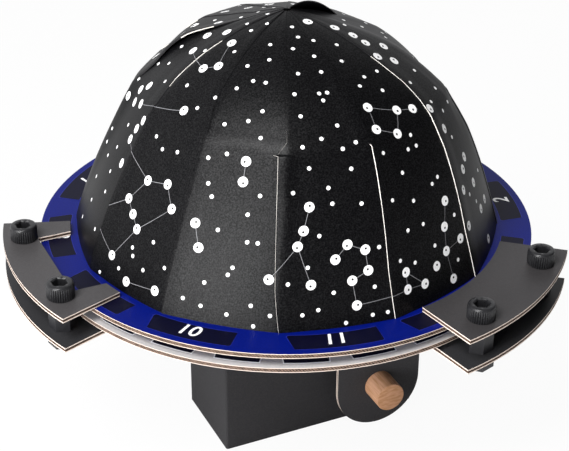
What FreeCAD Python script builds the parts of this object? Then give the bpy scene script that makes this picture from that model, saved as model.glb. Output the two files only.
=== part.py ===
import FreeCAD, Part
import math
import os
import Sketcher
from FreeCAD import Placement, Rotation, Vector

# A card and board planetarium: a twelve-gore dome pricked with stars turns on a month ring, over an hour
# ring, between three screwed clamps, and the whole head tilts on a wooden dowel through a folded stand.
# Z is up, the origin is on the table under the dome's axis, X runs along the stand and the dowel along Y.

SIZES = {
    # Thicknesses of the boards and cards
    "board_thick": 1.8,
    "dome_card_thick": 0.45,
    "stand_card_thick": 1.2,
    "ear_card_thick": 1.4,
    "glide_thick": 2.3,
    # Clearances: fixed seats, turning rings, card in card, dowel in its ears and in the stand
    "rest_gap": 0.3,
    "running_gap": 0.3,
    "plate_gap": 0.35,
    "card_gap": 0.15,
    "ear_bore_gap": 0.08,
    "stand_bore_gap": 0.04,
    # Stand, measured from the dome's axis to its left and right ends
    "stand_tall": 76.5,
    "stand_deep": 38.4,
    "stand_left": 34.7,
    "stand_right": 49.0,
    "stand_fold_radius": 0.9,
    # Tilt pivot
    "pivot_along": 27.8,
    "dowel_radius": 6.0,
    "dowel_stick_out": 10.4,
    "ear_radius": 18.4,
    "ear_table_gap": 1.9,
    "ear_stand_gap": 1.8,
    "ear_flange": 8.5,
    "ear_fold_radius": 1.0,
    # Rings and base disc, by how far they reach outside the dome's foot and inside it
    "ring_shelf": 15.8,
    "ring_land": 3.2,
    "layer_shelf": 8.8,
    "layer_land": 2.2,
    "disc_shelf": 6.8,
    # Clamps
    "clamp_dome_gap": 0.35,
    "clamp_margin": 7.9,
    "clamp_angle": 40.0,
    "window_wide": 41.8,
    "window_rim_gap": 1.2,
    "spacer_rim_gap": 1.75,
    "bolt_angle": 26.0,
    "bolt_radius": 3.0,
    "bolt_hole_gap": 0.2,
    "bolt_stick_out": 1.7,
    "bolt_head_radius": 5.1,
    "bolt_head_tall": 6.0,
    "socket_flats": 5.0,
    "socket_deep": 3.2,
    "spacer_flats": 8.7,
    "nut_flats": 10.0,
    "nut_tall": 5.0,
    "nut_thread_gap": 0.05,
    # Dome, in the middle of a gore: its foot, its bend at the slit, its height over the ring, and how far
    # the card bows out of the straight lines between them
    "dome_radius": 79.2,
    "dome_tall": 86.3,
    "slit_radius": 56.0,
    "slit_high": 57.3,
    "lower_bow": 1.8,
    "upper_bow": 5.6,
    "tab_wide": 10.0,
    "tab_slot_gap": 0.3,
    "lap_angle": 1.9,
    "lap_root_angle": 0.8,
    "slit_room": 2.6,
    "upper_lap_tall": 20.0,
    "tip_radius": 1.5,
    "lifted_tip_radius": 21.0,
    "lifted_tip_rise": 4.0,
    "pinhole_radius": 0.5,
    "apex_patch_flats": 17.0,
    "apex_patch_gap": 0.1,
    # Lamp
    "lamp_flats": 61.0,
    "lamp_wall": 1.4,
    "lamp_floor": 1.2,
    "lamp_lid_thick": 1.2,
    "lamp_lip_deep": 1.0,
    "circuit_gap": 1.1,
    "circuit_thick": 0.9,
    "cell_radius": 10.0,
    "cell_thick": 3.2,
    "cell_behind": 4.0,
    "contact_thick": 0.3,
    "contact_wide": 6.0,
    "spring_rise": 0.5,
    "led_radius": 2.5,
    "led_flange_radius": 2.9,
    "led_flange_thick": 1.0,
    "led_barrel": 6.1,
    # Switch, under the circuit board
    "switch_wall_gap": 2.1,
    "switch_corner_gap": 0.65,
    "switch_long": 9.0,
    "switch_deep": 4.0,
    "switch_foot_long": 3.6,
    "switch_foot_tall": 0.9,
    "switch_stem": 1.8,
    "switch_stick_out": 2.6,
    "switch_travel": 2.0,
    "switch_gap": 0.2,
    "switch_shell": 0.6,
    # How far a cut runs past the piece that it cuts
    "overrun": 1.0,
}

GORE_COUNT = 12
GORE_PITCH = 360 / GORE_COUNT
FIRST_GORE_TURN = 18
CLAMP_COUNT = 3
FRONT_CLAMP_TURN = -60
REAR_CLAMP_TURN = 60
POINTER_CLAMP_TURN = 180
HEX_SIDES = 6
LAMP_SIDES = 8
PIN_START_SHARE = 0.5

# Pinholes of the bright stars of each gore: degrees along the rim from the gore's middle, degrees up.
STARS = (
    ((-6, 22), (7, 52)),
    ((2, 12), (5, 36)),
    ((8, 18), (0, 60)),
    ((-9, 10), (6, 35)),
    ((5, 20), (-5, 40)),
    ((-1.5, 49), (1, 63.5)),
    ((5.5, 31.5), (-0.5, 50)),
    ((-8.5, 18.5), (1, 37)),
    ((3, 21), (-8, 31.5)),
    ((6, 17.5), (2, 51)),
    ((-9.5, 40.5), (-3.5, 61.5)),
    ((6, 16), (5, 58)),
)

doc = FreeCAD.newDocument("Planetarium")
sheet = doc.addObject("Spreadsheet::Sheet", "Sizes")


class Dim:
    """A number with the sheet expression that gives it, so that a feature can follow the sheet."""

    def __init__(self, number, text):
        self.number = number
        self.text = text

    def __add__(self, other):
        other = as_dim(other)
        return Dim(self.number + other.number, f"({self.text} + {other.text})")

    def __sub__(self, other):
        other = as_dim(other)
        return Dim(self.number - other.number, f"({self.text} - {other.text})")

    def __mul__(self, other):
        other = as_dim(other)
        return Dim(self.number * other.number, f"({self.text} * {other.text})")

    def __truediv__(self, other):
        other = as_dim(other)
        return Dim(self.number / other.number, f"({self.text} / {other.text})")

    def __neg__(self):
        return Dim(-self.number, f"(0 - {self.text})")


def as_dim(value):
    return value if isinstance(value, Dim) else Dim(float(value), f"({float(value)})")


def root(value):
    return Dim(math.sqrt(value.number), f"sqrt({value.text})")


def lower_of(one, other):
    return Dim(min(one.number, other.number), f"min({one.text}; {other.text})")


def cos(angle):
    angle = as_dim(angle)
    return Dim(math.cos(math.radians(angle.number)), f"cos({angle.text})")


def sin(angle):
    angle = as_dim(angle)
    return Dim(math.sin(math.radians(angle.number)), f"sin({angle.text})")


def tan(angle):
    return sin(angle) / cos(angle)


def fill_sheet():
    """Write each size into a cell of its own and hand the sizes back by name."""
    named = {}
    for row, (alias, number) in enumerate(SIZES.items(), start=1):
        sheet.set(f"A{row}", alias)
        sheet.set(f"B{row}", str(number))
        sheet.setAlias(f"B{row}", alias)
        named[alias] = Dim(number, f"Sizes.{alias}")
    doc.recompute()
    return named


S = fill_sheet()

# Levels, from the table up
PLATE_LOW = S["stand_tall"] + S["rest_gap"]
PLATE_TOP = PLATE_LOW + S["board_thick"]
GLIDE_TOP = PLATE_TOP + S["glide_thick"]
HOUR_LOW = GLIDE_TOP + S["running_gap"]
HOUR_TOP = HOUR_LOW + S["board_thick"]
LAYER_LOW = HOUR_TOP + S["running_gap"]
MONTH_LOW = LAYER_LOW + S["board_thick"] * 2
MONTH_TOP = MONTH_LOW + S["board_thick"]
CLAMP_LOW = MONTH_TOP + S["plate_gap"]
CLAMP_TOP = CLAMP_LOW + S["board_thick"]
PIVOT_HIGH = S["ear_radius"] + S["ear_table_gap"]
LAMP_WELL = PLATE_TOP + S["lamp_floor"]
CELL_TOP = LAMP_WELL + S["contact_thick"] + S["cell_thick"]
CIRCUIT_LOW = CELL_TOP + S["contact_thick"] + S["spring_rise"]
CIRCUIT_TOP = CIRCUIT_LOW + S["circuit_thick"]
LAMP_RIM = CIRCUIT_TOP + S["lamp_lip_deep"]


# Radii and distances from the dome's axis, the dome's card drawn from the month ring's top
HALF_GORE = as_dim(GORE_PITCH / 2)
LAP_CORNER = (S["dome_radius"] + S["dome_card_thick"]) / cos(HALF_GORE + S["lap_angle"])
SLOPE = root(S["dome_radius"] * S["dome_radius"] + S["dome_tall"] * S["dome_tall"])
SLIT_NORMAL = (S["dome_tall"] / SLOPE, S["dome_radius"] / SLOPE)
UPPER_RISE = S["dome_tall"] - S["slit_high"]
UPPER_CHORD = root(S["slit_radius"] * S["slit_radius"] + UPPER_RISE * UPPER_RISE)
RING_RADIUS = S["dome_radius"] + S["ring_shelf"]
RING_BORE = S["dome_radius"] - S["ring_land"]
LAYER_RADIUS = S["dome_radius"] + S["layer_shelf"]
LAYER_BORE = S["dome_radius"] - S["layer_land"]
DISC_RADIUS = S["dome_radius"] + S["disc_shelf"]
BOLT_CIRCLE = RING_RADIUS + S["spacer_rim_gap"] + S["spacer_flats"] / 2
CLAMP_BORE = LAP_CORNER + S["clamp_dome_gap"]
CLAMP_REACH = BOLT_CIRCLE + S["clamp_margin"]
EAR_OUT = S["stand_deep"] / 2 + S["ear_stand_gap"] + S["ear_flange"]
DOWEL_LONG = (EAR_OUT + S["dowel_stick_out"]) * 2
LAMP_INSIDE = S["lamp_flats"] / 2 - S["lamp_wall"]
LAMP_HALF_SIDE = LAMP_INSIDE * tan(180 / LAMP_SIDES)
SWITCH_OUT = LAMP_INSIDE - S["switch_wall_gap"] - S["switch_deep"] / 2
SWITCH_ALONG = LAMP_HALF_SIDE + S["switch_wall_gap"] - S["switch_corner_gap"] - S["switch_long"] / 2


def bow_radius(chord, bow):
    """The radius of the arc that stands off its chord by bow in the middle."""
    return (chord * chord / 4 + bow * bow) / (bow * 2)


UPPER_ARC = bow_radius(UPPER_CHORD, S["upper_bow"])
ARC_SINK = (UPPER_ARC - S["upper_bow"]) / UPPER_CHORD
ARC_CENTRE = (S["slit_radius"] / 2 - UPPER_RISE * ARC_SINK,
              (S["slit_high"] + S["dome_tall"]) / 2 - S["slit_radius"] * ARC_SINK)


def bind(thing, path, value):
    thing.setExpression(path, as_dim(value).text)


def origin_feature(body, role):
    return next(feature for feature in body.Origin.OriginFeatures if feature.Role == role)


def new_body(label, level=0, turn=0):
    """A body with its base at a level, turned about Z."""
    body = doc.addObject("PartDesign::Body", label)
    body.Label = label
    body.Placement = Placement(Vector(), Rotation(Vector(0, 0, 1), turn))
    bind(body, "Placement.Base.z", level)
    return body


def sketch_on(body, role, lift=0, turn=0):
    """A sketch on one of the body's own planes, lifted along the plane's normal."""
    sketch = body.newObject("Sketcher::SketchObject", f"{body.Name}_sketch")
    sketch.AttachmentSupport = [(origin_feature(body, role), "")]
    sketch.MapMode = "FlatFace"
    sketch.AttachmentOffset = Placement(Vector(), Rotation(Vector(0, 0, 1), turn))
    bind(sketch, "AttachmentOffset.Base.z", lift)
    return sketch


def hold(sketch, kind, value, *where):
    """Add a constraint and tie its value to the sheet."""
    index = sketch.addConstraint(Sketcher.Constraint(kind, *where, value.number))
    sketch.setExpression(f"Constraints[{index}]", value.text)


def hold_point(sketch, edge, end, spot):
    hold(sketch, "DistanceX", as_dim(spot[0]), -1, 1, edge, end)
    hold(sketch, "DistanceY", as_dim(spot[1]), -1, 1, edge, end)


def circle(sketch, radius, spot=(0, 0)):
    centre = Vector(as_dim(spot[0]).number, as_dim(spot[1]).number, 0)
    edge = sketch.addGeometry(Part.Circle(centre, Vector(0, 0, 1), radius.number))
    hold(sketch, "Radius", radius, edge)
    hold_point(sketch, edge, 3, spot)


def outline(sketch, corners, bends=None):
    """A closed outline through corners. bends gives the edges that are arcs, each with its radius and
    with the side that its centre lies on: 1 on the left of the way round, -1 on the right."""
    bends = bends or {}
    corners = [(as_dim(x), as_dim(y)) for x, y in corners]
    spots = [Vector(x.number, y.number, 0) for x, y in corners]
    edges = []
    for index, start in enumerate(spots):
        finish = spots[(index + 1) % len(spots)]
        if index in bends:
            radius, side = bends[index]
            half = (finish - start).Length / 2
            left = Vector(start.y - finish.y, finish.x - start.x, 0).normalize()
            centre = (start + finish) / 2 + left * side * math.sqrt(radius.number ** 2 - half ** 2)
            first, last = (start, finish) if side > 0 else (finish, start)
            angles = [math.atan2(spot.y - centre.y, spot.x - centre.x) for spot in (first, last)]
            whole = Part.Circle(centre, Vector(0, 0, 1), radius.number)
            edge = sketch.addGeometry(Part.ArcOfCircle(whole, *angles))
            hold(sketch, "Radius", radius, edge)
            edges.append((edge, 1, 2) if side > 0 else (edge, 2, 1))
        else:
            edges.append((sketch.addGeometry(Part.LineSegment(start, finish)), 1, 2))
    for index, (edge, begin, end) in enumerate(edges):
        after, after_begin, _ = edges[(index + 1) % len(edges)]
        sketch.addConstraint(Sketcher.Constraint("Coincident", edge, end, after, after_begin))
        hold_point(sketch, edge, begin, corners[index])


def rectangle(sketch, x_low, x_high, y_low, y_high):
    outline(sketch, [(x_low, y_low), (x_high, y_low), (x_high, y_high), (x_low, y_high)])


def polygon(sketch, sides, flats, spot=(0, 0), turn=0):
    """A regular polygon given by its width across flats, with a flat facing the turned X axis."""
    half_side = 180 / sides
    reach = flats / (cos(half_side) * 2)
    corners = []
    for step in range(sides):
        angle = as_dim(turn) + half_side * (2 * step + 1)
        corners.append((as_dim(spot[0]) + reach * cos(angle), as_dim(spot[1]) + reach * sin(angle)))
    outline(sketch, corners)


def polar(radius, angle):
    return radius * cos(angle), radius * sin(angle)


def sector(sketch, inner, outer, angle):
    """A ring sector across X, with radial sides."""
    half = angle / 2
    corners = [polar(inner, -half), polar(outer, -half), polar(outer, half), polar(inner, half)]
    outline(sketch, corners, {1: (outer, 1), 3: (inner, -1)})


def pad(body, sketch, length, centred=False, reverse=False):
    feature = body.newObject("PartDesign::Pad", f"{body.Name}_pad")
    feature.Profile = sketch
    feature.Midplane = centred
    feature.Reversed = reverse
    bind(feature, "Length", length)
    doc.recompute()
    return feature


def pocket(body, sketch, length=None, centred=False, reverse=False):
    """A cut by the given length, or right through, that must take something away."""
    before = body.Shape.Volume
    feature = body.newObject("PartDesign::Pocket", f"{body.Name}_pocket")
    feature.Profile = sketch
    feature.Midplane = centred
    feature.Reversed = reverse
    if length is None:
        feature.Type = "ThroughAll"
    else:
        bind(feature, "Length", length)
    doc.recompute()
    if not body.Shape.Volume < before:
        raise RuntimeError(f"{body.Label}: {feature.Name} cuts nothing")
    return feature


def round_edges(body, base, edges, radius):
    feature = body.newObject("PartDesign::Fillet", f"{body.Name}_fillet")
    feature.Base = (base, edges)
    bind(feature, "Radius", radius)
    doc.recompute()
    return feature


def edges_where(feature, test):
    """Names of the feature's edges whose two end points both pass the test."""
    names = []
    for index, edge in enumerate(feature.Shape.Edges, start=1):
        if all(test(vertex.Point) for vertex in edge.Vertexes):
            names.append(f"Edge{index}")
    return names


def near(value, target):
    return abs(value - target) < 1e-4


def make_ring(label, level, outer, inner, thick):
    body = new_body(label, level)
    face = sketch_on(body, "XY_Plane")
    circle(face, outer)
    circle(face, inner)
    pad(body, face, thick)
    return body


# Stand

STAND_ARC = S["stand_tall"] - PIVOT_HIGH


def stand_outline(sketch, inset):
    """The stand's side view: the corner by the pivot is an arc, so that the tilting plate clears it."""
    radius = STAND_ARC - inset
    right = S["stand_right"] - inset
    across = right - S["pivot_along"]
    left = inset - S["stand_left"]
    shoulder = PIVOT_HIGH + root(radius * radius - across * across)
    top = S["stand_tall"] - inset
    corners = [(left, 0), (right, 0), (right, shoulder), (S["pivot_along"], top), (left, top)]
    outline(sketch, corners, {2: (radius, 1)})


def bore_pivot(body, gap):
    bore = sketch_on(body, "XZ_Plane")
    circle(bore, S["dowel_radius"] + gap, (S["pivot_along"], PIVOT_HIGH))
    pocket(body, bore, DOWEL_LONG + S["overrun"], centred=True)


def make_stand_shell():
    """The folded card box: four walls and the top in one piece, open below."""
    body = new_body("stand_shell")
    side = sketch_on(body, "XZ_Plane")
    stand_outline(side, as_dim(0))
    block = pad(body, side, S["stand_deep"], centred=True)
    low, high = -S["stand_left"].number, S["stand_right"].number
    ends = edges_where(block, lambda spot: near(spot.x, low) or near(spot.x, high))
    upright = [name for name in ends if is_upright(block, name)]
    round_edges(body, block, upright, S["stand_fold_radius"])
    inside = sketch_on(body, "XZ_Plane")
    stand_outline(inside, S["stand_card_thick"])
    pocket(body, inside, S["stand_deep"] - S["stand_card_thick"] * 2, centred=True)
    bore_pivot(body, S["stand_bore_gap"])


def is_upright(feature, name):
    ends = [vertex.Point for vertex in feature.Shape.getElement(name).Vertexes]
    return near(ends[0].x, ends[1].x) and near(ends[0].y, ends[1].y)


def make_stand_floor():
    """The panel that closes the box's foot."""
    floor = doc.addObject("Part::Box", "stand_floor")
    floor.Label = "stand_floor"
    side = S["stand_card_thick"] + S["card_gap"]
    bind(floor, "Length", S["stand_left"] + S["stand_right"] - side * 2)
    bind(floor, "Width", S["stand_deep"] - side * 2)
    bind(floor, "Height", S["stand_card_thick"])
    bind(floor, "Placement.Base.x", side - S["stand_left"])
    bind(floor, "Placement.Base.y", side - S["stand_deep"] / 2)


def make_dowel():
    body = new_body("pivot_dowel")
    end = sketch_on(body, "XZ_Plane")
    circle(end, S["dowel_radius"], (S["pivot_along"], PIVOT_HIGH))
    pad(body, end, DOWEL_LONG, centred=True)


# Head

def make_base_plate():
    """The lower board: a disc with a lobe under each clamp, its bolt holes and the switch's slot."""
    body = new_body("base_plate", PLATE_LOW)
    disc = sketch_on(body, "XY_Plane")
    circle(disc, DISC_RADIUS)
    pad(body, disc, S["board_thick"])
    lobe = sketch_on(body, "XY_Plane", turn=REAR_CLAMP_TURN)
    sector(lobe, LAYER_BORE, CLAMP_REACH, S["clamp_angle"])
    first = pad(body, lobe, S["board_thick"])
    round_z(body, first)
    bolts = sketch_on(body, "XY_Plane", turn=REAR_CLAMP_TURN)
    for side in (-1, 1):
        hole = polar(BOLT_CIRCLE, S["bolt_angle"] * side / 2)
        circle(bolts, S["bolt_radius"] + S["bolt_hole_gap"], hole)
    round_z(body, pocket(body, bolts, reverse=True))
    slot = sketch_on(body, "XY_Plane")
    switch_slot(slot)
    pocket(body, slot, reverse=True)


def round_z(body, feature):
    """Repeat a feature at the three clamps."""
    pattern = body.newObject("PartDesign::PolarPattern", f"{body.Name}_pattern")
    pattern.Originals = [feature]
    pattern.Axis = (origin_feature(body, "Z_Axis"), [""])
    pattern.Angle = 360
    pattern.Occurrences = CLAMP_COUNT
    body.Tip = pattern
    doc.recompute()
    return pattern


def switch_slot(sketch):
    """The slot that the switch's stem slides in, from its off place to its on place."""
    room = S["switch_stem"] / 2 + S["switch_gap"]
    x_off = -SWITCH_ALONG - S["switch_travel"] / 2
    x_on = S["switch_travel"] / 2 - SWITCH_ALONG
    rectangle(sketch, x_off - room, x_on + room, -SWITCH_OUT - room, room - SWITCH_OUT)


def make_glide_pads():
    """Three smooth pads glued to the base plate, which the hour ring slides on."""
    body = new_body("glide_pads", PLATE_TOP)
    face = sketch_on(body, "XY_Plane")
    sector(face, LAYER_BORE, DISC_RADIUS, S["clamp_angle"])
    round_z(body, pad(body, face, S["glide_thick"]))


def make_ear(label, side):
    """A folded card ear: a flange glued under the base plate and a round-ended plate on the dowel."""
    body = new_body(label)
    outer = EAR_OUT
    centre_x, centre_z, radius = S["pivot_along"], PIVOT_HIGH, S["ear_radius"]
    plate = sketch_on(body, "XZ_Plane", outer * -side)
    corners = [
        (centre_x - radius, PLATE_LOW),
        (centre_x - radius, centre_z),
        (centre_x, centre_z - radius),
        (centre_x + radius, centre_z),
        (centre_x + radius, PLATE_LOW),
    ]
    outline(plate, corners, {1: (radius, 1), 2: (radius, 1)})
    pad(body, plate, S["ear_card_thick"], reverse=side < 0)
    flange = sketch_on(body, "XY_Plane", PLATE_LOW)
    edge = sorted((outer * side, (outer - S["ear_flange"]) * side), key=lambda dim: dim.number)
    rectangle(flange, centre_x - radius, centre_x + radius, *edge)
    folded = pad(body, flange, S["ear_card_thick"], reverse=True)
    place = outer.number * side
    top = PLATE_LOW.number
    fold = edges_where(folded, lambda spot: near(spot.y, place) and near(spot.z, top))
    round_edges(body, folded, fold, S["ear_fold_radius"])
    bore_pivot(body, S["ear_bore_gap"])


def make_clamp_plate(label, turn, window=False):
    """An upper clamp plate: a ring sector with two bolt holes. The pointer's one has a window."""
    body = new_body(label, CLAMP_LOW, turn)
    face = sketch_on(body, "XY_Plane")
    if window:
        half = S["clamp_angle"] / 2
        inner, outer, open_half = CLAMP_BORE, CLAMP_REACH, S["window_wide"] / 2
        mouth = root(inner * inner - open_half * open_half)
        chord = RING_RADIUS - S["window_rim_gap"]
        corners = [
            polar(inner, -half), polar(outer, -half), polar(outer, half), polar(inner, half),
            (mouth, open_half), (chord, open_half), (chord, -open_half), (mouth, -open_half),
        ]
        outline(face, corners, {1: (outer, 1), 3: (inner, -1), 7: (inner, -1)})
    else:
        sector(face, CLAMP_BORE, CLAMP_REACH, S["clamp_angle"])
    pad(body, face, S["board_thick"])
    bolts = sketch_on(body, "XY_Plane")
    for side in (-1, 1):
        hole = polar(BOLT_CIRCLE, S["bolt_angle"] * side / 2)
        circle(bolts, S["bolt_radius"] + S["bolt_hole_gap"], hole)
    pocket(body, bolts, reverse=True)


def spread_to_bolts(body, features):
    """Repeat a fastener's features at all six bolts, from the one on the front side of the X clamp."""
    spread = body.newObject("PartDesign::MultiTransform", f"{body.Name}_spread")
    spread.Originals = features
    mirror = body.newObject("PartDesign::Mirrored", f"{body.Name}_mirror")
    mirror.MirrorPlane = (origin_feature(body, "XZ_Plane"), [""])
    round_again = body.newObject("PartDesign::PolarPattern", f"{body.Name}_round")
    round_again.Axis = (origin_feature(body, "Z_Axis"), [""])
    round_again.Angle = 360
    round_again.Occurrences = CLAMP_COUNT
    spread.Transformations = [mirror, round_again]
    body.Tip = spread
    doc.recompute()
    body.Placement = Placement(body.Placement.Base, Rotation(Vector(0, 0, 1), REAR_CLAMP_TURN))


def bolt_spot():
    return polar(BOLT_CIRCLE, -S["bolt_angle"] / 2)


def make_clamp_screws():
    """Six socket-head cap screws, their heads on the upper clamp plates."""
    body = new_body("clamp_screws", CLAMP_TOP)
    head_face = sketch_on(body, "XY_Plane")
    circle(head_face, S["bolt_head_radius"], bolt_spot())
    head = pad(body, head_face, S["bolt_head_tall"])
    shank_face = sketch_on(body, "XY_Plane")
    circle(shank_face, S["bolt_radius"], bolt_spot())
    shank = pad(body, shank_face, CLAMP_TOP - PLATE_LOW + S["nut_tall"] + S["bolt_stick_out"], reverse=True)
    socket_face = sketch_on(body, "XY_Plane", S["bolt_head_tall"])
    polygon(socket_face, HEX_SIDES, S["socket_flats"], bolt_spot())
    socket = pocket(body, socket_face, S["socket_deep"])
    spread_to_bolts(body, [head, shank, socket])


def make_clamp_spacers():
    """Six hexagonal spacers that hold the clamp plates apart and guide the rings' rims."""
    body = new_body("clamp_spacers", PLATE_TOP)
    face = sketch_on(body, "XY_Plane")
    polygon(face, HEX_SIDES, S["spacer_flats"], bolt_spot(), -S["bolt_angle"] / 2)
    circle(face, S["bolt_radius"] + S["bolt_hole_gap"], bolt_spot())
    spread_to_bolts(body, [pad(body, face, CLAMP_LOW - PLATE_TOP)])


def make_clamp_nuts():
    body = new_body("clamp_nuts", PLATE_LOW)
    face = sketch_on(body, "XY_Plane")
    polygon(face, HEX_SIDES, S["nut_flats"], bolt_spot(), -S["bolt_angle"] / 2)
    circle(face, S["bolt_radius"] + S["nut_thread_gap"], bolt_spot())
    spread_to_bolts(body, [pad(body, face, S["nut_tall"], reverse=True)])


# Dome

def plain_sketch(name, placement=None):
    sketch = doc.addObject("Sketcher::SketchObject", name)
    if placement is not None:
        sketch.Placement = placement
    return sketch


def band(name, half_wide, outer):
    """The card's section across a gore: straight, because the card only bends one way."""
    sketch = plain_sketch(name)
    rectangle(sketch, outer - S["dome_card_thick"], outer, -half_wide, half_wide)
    return sketch


def extrude(name, sketch, up, down=0, way=Vector(0, 0, 1)):
    solid = doc.addObject("Part::Extrusion", name)
    solid.Base = sketch
    solid.DirMode = "Custom"
    solid.Dir = way
    solid.Solid = True
    bind(solid, "LengthFwd", up)
    bind(solid, "LengthRev", down)
    return solid


def fuse(name, pieces):
    joined = doc.addObject("Part::MultiFuse", name)
    joined.Shapes = pieces
    joined.Refine = True
    return joined


def card_line(rise):
    """The card's line in the middle of a gore, at a height over its outer face: foot, slit and top."""
    normal_out, normal_up = SLIT_NORMAL
    slit = (S["slit_radius"] + normal_out * rise, S["slit_high"] + normal_up * rise)
    return [(S["dome_radius"] + rise, as_dim(0)), slit, (as_dim(0), S["dome_tall"] + rise)]


def strip(name, rise):
    """A bent card strip from the dome's foot to its top, with a kink where the slits are."""
    foot, slit, top = card_line(rise)
    foot_in, slit_in, top_in = card_line(rise - S["dome_card_thick"])
    run, climb = S["dome_radius"] - S["slit_radius"], S["slit_high"]
    lower = bow_radius(root(run * run + climb * climb), S["lower_bow"])
    section = plain_sketch(f"{name}_section", Placement(Vector(), Rotation(Vector(1, 0, 0), 90)))
    bends = {0: (lower, 1), 1: (UPPER_ARC, 1), 3: (UPPER_ARC, -1), 4: (lower, -1)}
    outline(section, [foot, slit, top, top_in, slit_in, foot_in], bends)
    half_wide = S["dome_radius"] * tan(HALF_GORE + S["lap_angle"]) + S["overrun"]
    return extrude(name, section, half_wide, half_wide, Vector(0, 1, 0))


def wedge(name, near_radius, angle_low, angle_high, z_low, z_high):
    """An upright prism between two planes through the dome's axis, beyond a radius."""
    sketch = plain_sketch(f"{name}_section")
    far_radius = S["dome_radius"] * 2
    corners = [polar(near_radius, angle_low), polar(far_radius, angle_low)]
    corners += [polar(far_radius, angle_high), polar(near_radius, angle_high)]
    outline(sketch, corners)
    return extrude(name, sketch, z_high, -as_dim(z_low))


def common(name, base, tool):
    shared = doc.addObject("Part::Common", name)
    shared.Base = base
    shared.Tool = tool
    return shared


def make_tab():
    section = band("gore_tab_section", S["tab_wide"] / 2, S["dome_radius"])
    return extrude("gore_tab", section, 0, S["board_thick"])


def make_laps(layer):
    """The gore's two overlapping edges: below the slit it lies over one neighbour, above it over the
    other, as half-lapped card strips do."""
    root_angle, lap = S["lap_root_angle"], S["lap_angle"]
    low_end = S["slit_high"] - S["slit_room"] / 2
    high_start = S["slit_high"] + S["slit_room"] / 2
    high_end = S["slit_high"] + S["upper_lap_tall"]
    near_radius = S["lifted_tip_radius"]
    low_side = (-HALF_GORE - lap, root_angle - HALF_GORE)
    high_side = (HALF_GORE - root_angle, HALF_GORE + lap)
    low_wedge = wedge("lower_lap_wedge", near_radius, *low_side, -S["overrun"], low_end)
    high_wedge = wedge("upper_lap_wedge", near_radius, *high_side, high_start, high_end)
    return [common("lower_lap", layer, low_wedge), common("upper_lap", layer, high_wedge)]


def tip_band(name, side, radius_out, rise):
    """The lifted tip's section in a seam plane, from near the apex out, arched above the plain dome."""
    turn = Rotation(Vector(0, 0, 1), side * HALF_GORE.number)
    sketch = plain_sketch(name, Placement(Vector(), turn * Rotation(Vector(1, 0, 0), 90)))
    near_r = S["tip_radius"]
    z_near = card_height(near_r * cos(HALF_GORE))
    z_far = card_height(radius_out * cos(HALF_GORE))
    across, drop = radius_out - near_r, z_near - z_far
    chord = across * across + drop * drop
    sag = chord / (UPPER_ARC * 8) + rise
    radius = (chord / 4 + sag * sag) / (sag * 2)
    thick = S["dome_card_thick"]
    corners = [(near_r, z_near - thick), (radius_out, z_far - thick), (radius_out, z_far), (near_r, z_near)]
    outline(sketch, corners, {0: (radius, -1), 2: (radius, 1)})
    return sketch


def card_height(along):
    """How high the upper card's outside is over the ring, at a distance from the axis along a gore."""
    from_centre = along - ARC_CENTRE[0]
    return ARC_CENTRE[1] + root(UPPER_ARC * UPPER_ARC - from_centre * from_centre)


def make_gore_blanks():
    """The plain gore, and the one whose tip rises from the dome along the seam near the apex."""
    card = strip("gore_strip", as_dim(0))
    layer = strip("lap_strip", S["dome_card_thick"])
    below, top = -S["overrun"], S["dome_tall"] + S["overrun"]
    whole = wedge("gore_wedge", S["tip_radius"], -HALF_GORE, HALF_GORE, below, top)
    short = wedge("short_wedge", S["lifted_tip_radius"], -HALF_GORE, HALF_GORE, below, top)
    laps = make_laps(layer)
    tab = make_tab()
    plain = fuse("gore_blank", [common("gore_leaf", card, whole), tab] + laps)
    tip = doc.addObject("Part::Loft", "lifted_tip")
    reach = S["lifted_tip_radius"]
    tip.Sections = [
        tip_band("lifted_edge", -1, reach, S["lifted_tip_rise"]),
        tip_band("flush_edge", 1, reach, as_dim(0)),
    ]
    tip.Solid = True
    tip.Ruled = True
    lifted = fuse("lifted_gore_blank", [common("short_leaf", card, short), tab, tip] + laps)
    doc.recompute()
    return plain, lifted


def make_pins(name, stars):
    """The six-sided awls that prick a gore's bright stars, each pointing away from the ring's middle, from
    well inside the dome to well outside it."""
    pins = []
    start, length = S["dome_radius"] * PIN_START_SHARE, S["dome_radius"] * (1 - PIN_START_SHARE) * 2
    for along, up in stars:
        pin = doc.addObject("Part::Prism", f"{name}_pin")
        pin.Polygon = HEX_SIDES
        flat = math.cos(math.radians(up))
        way = Vector(flat * math.cos(math.radians(along)), flat * math.sin(math.radians(along)),
                     math.sin(math.radians(up)))
        pin.Placement = Placement(Vector(), Rotation(Vector(0, 0, 1), way))
        bind(pin, "Circumradius", S["pinhole_radius"])
        bind(pin, "Height", length)
        bind(pin, "Placement.Base.x", start * cos(up) * cos(along))
        bind(pin, "Placement.Base.y", start * cos(up) * sin(along))
        bind(pin, "Placement.Base.z", start * sin(up))
        pins.append(pin)
    group = doc.addObject("Part::Compound", f"{name}_pins")
    group.Links = pins
    return group


def make_gores():
    plain, lifted = make_gore_blanks()
    for index, stars in enumerate(STARS):
        label = f"dome_gore_{index + 1:02d}"
        gore = doc.addObject("Part::Cut", label)
        gore.Label = label
        gore.Base = lifted if index == 0 else plain
        gore.Tool = make_pins(label, stars)
        turn = Rotation(Vector(0, 0, 1), FIRST_GORE_TURN + GORE_PITCH * index)
        gore.Placement = Placement(Vector(), turn)
        bind(gore, "Placement.Base.z", MONTH_TOP)


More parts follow.
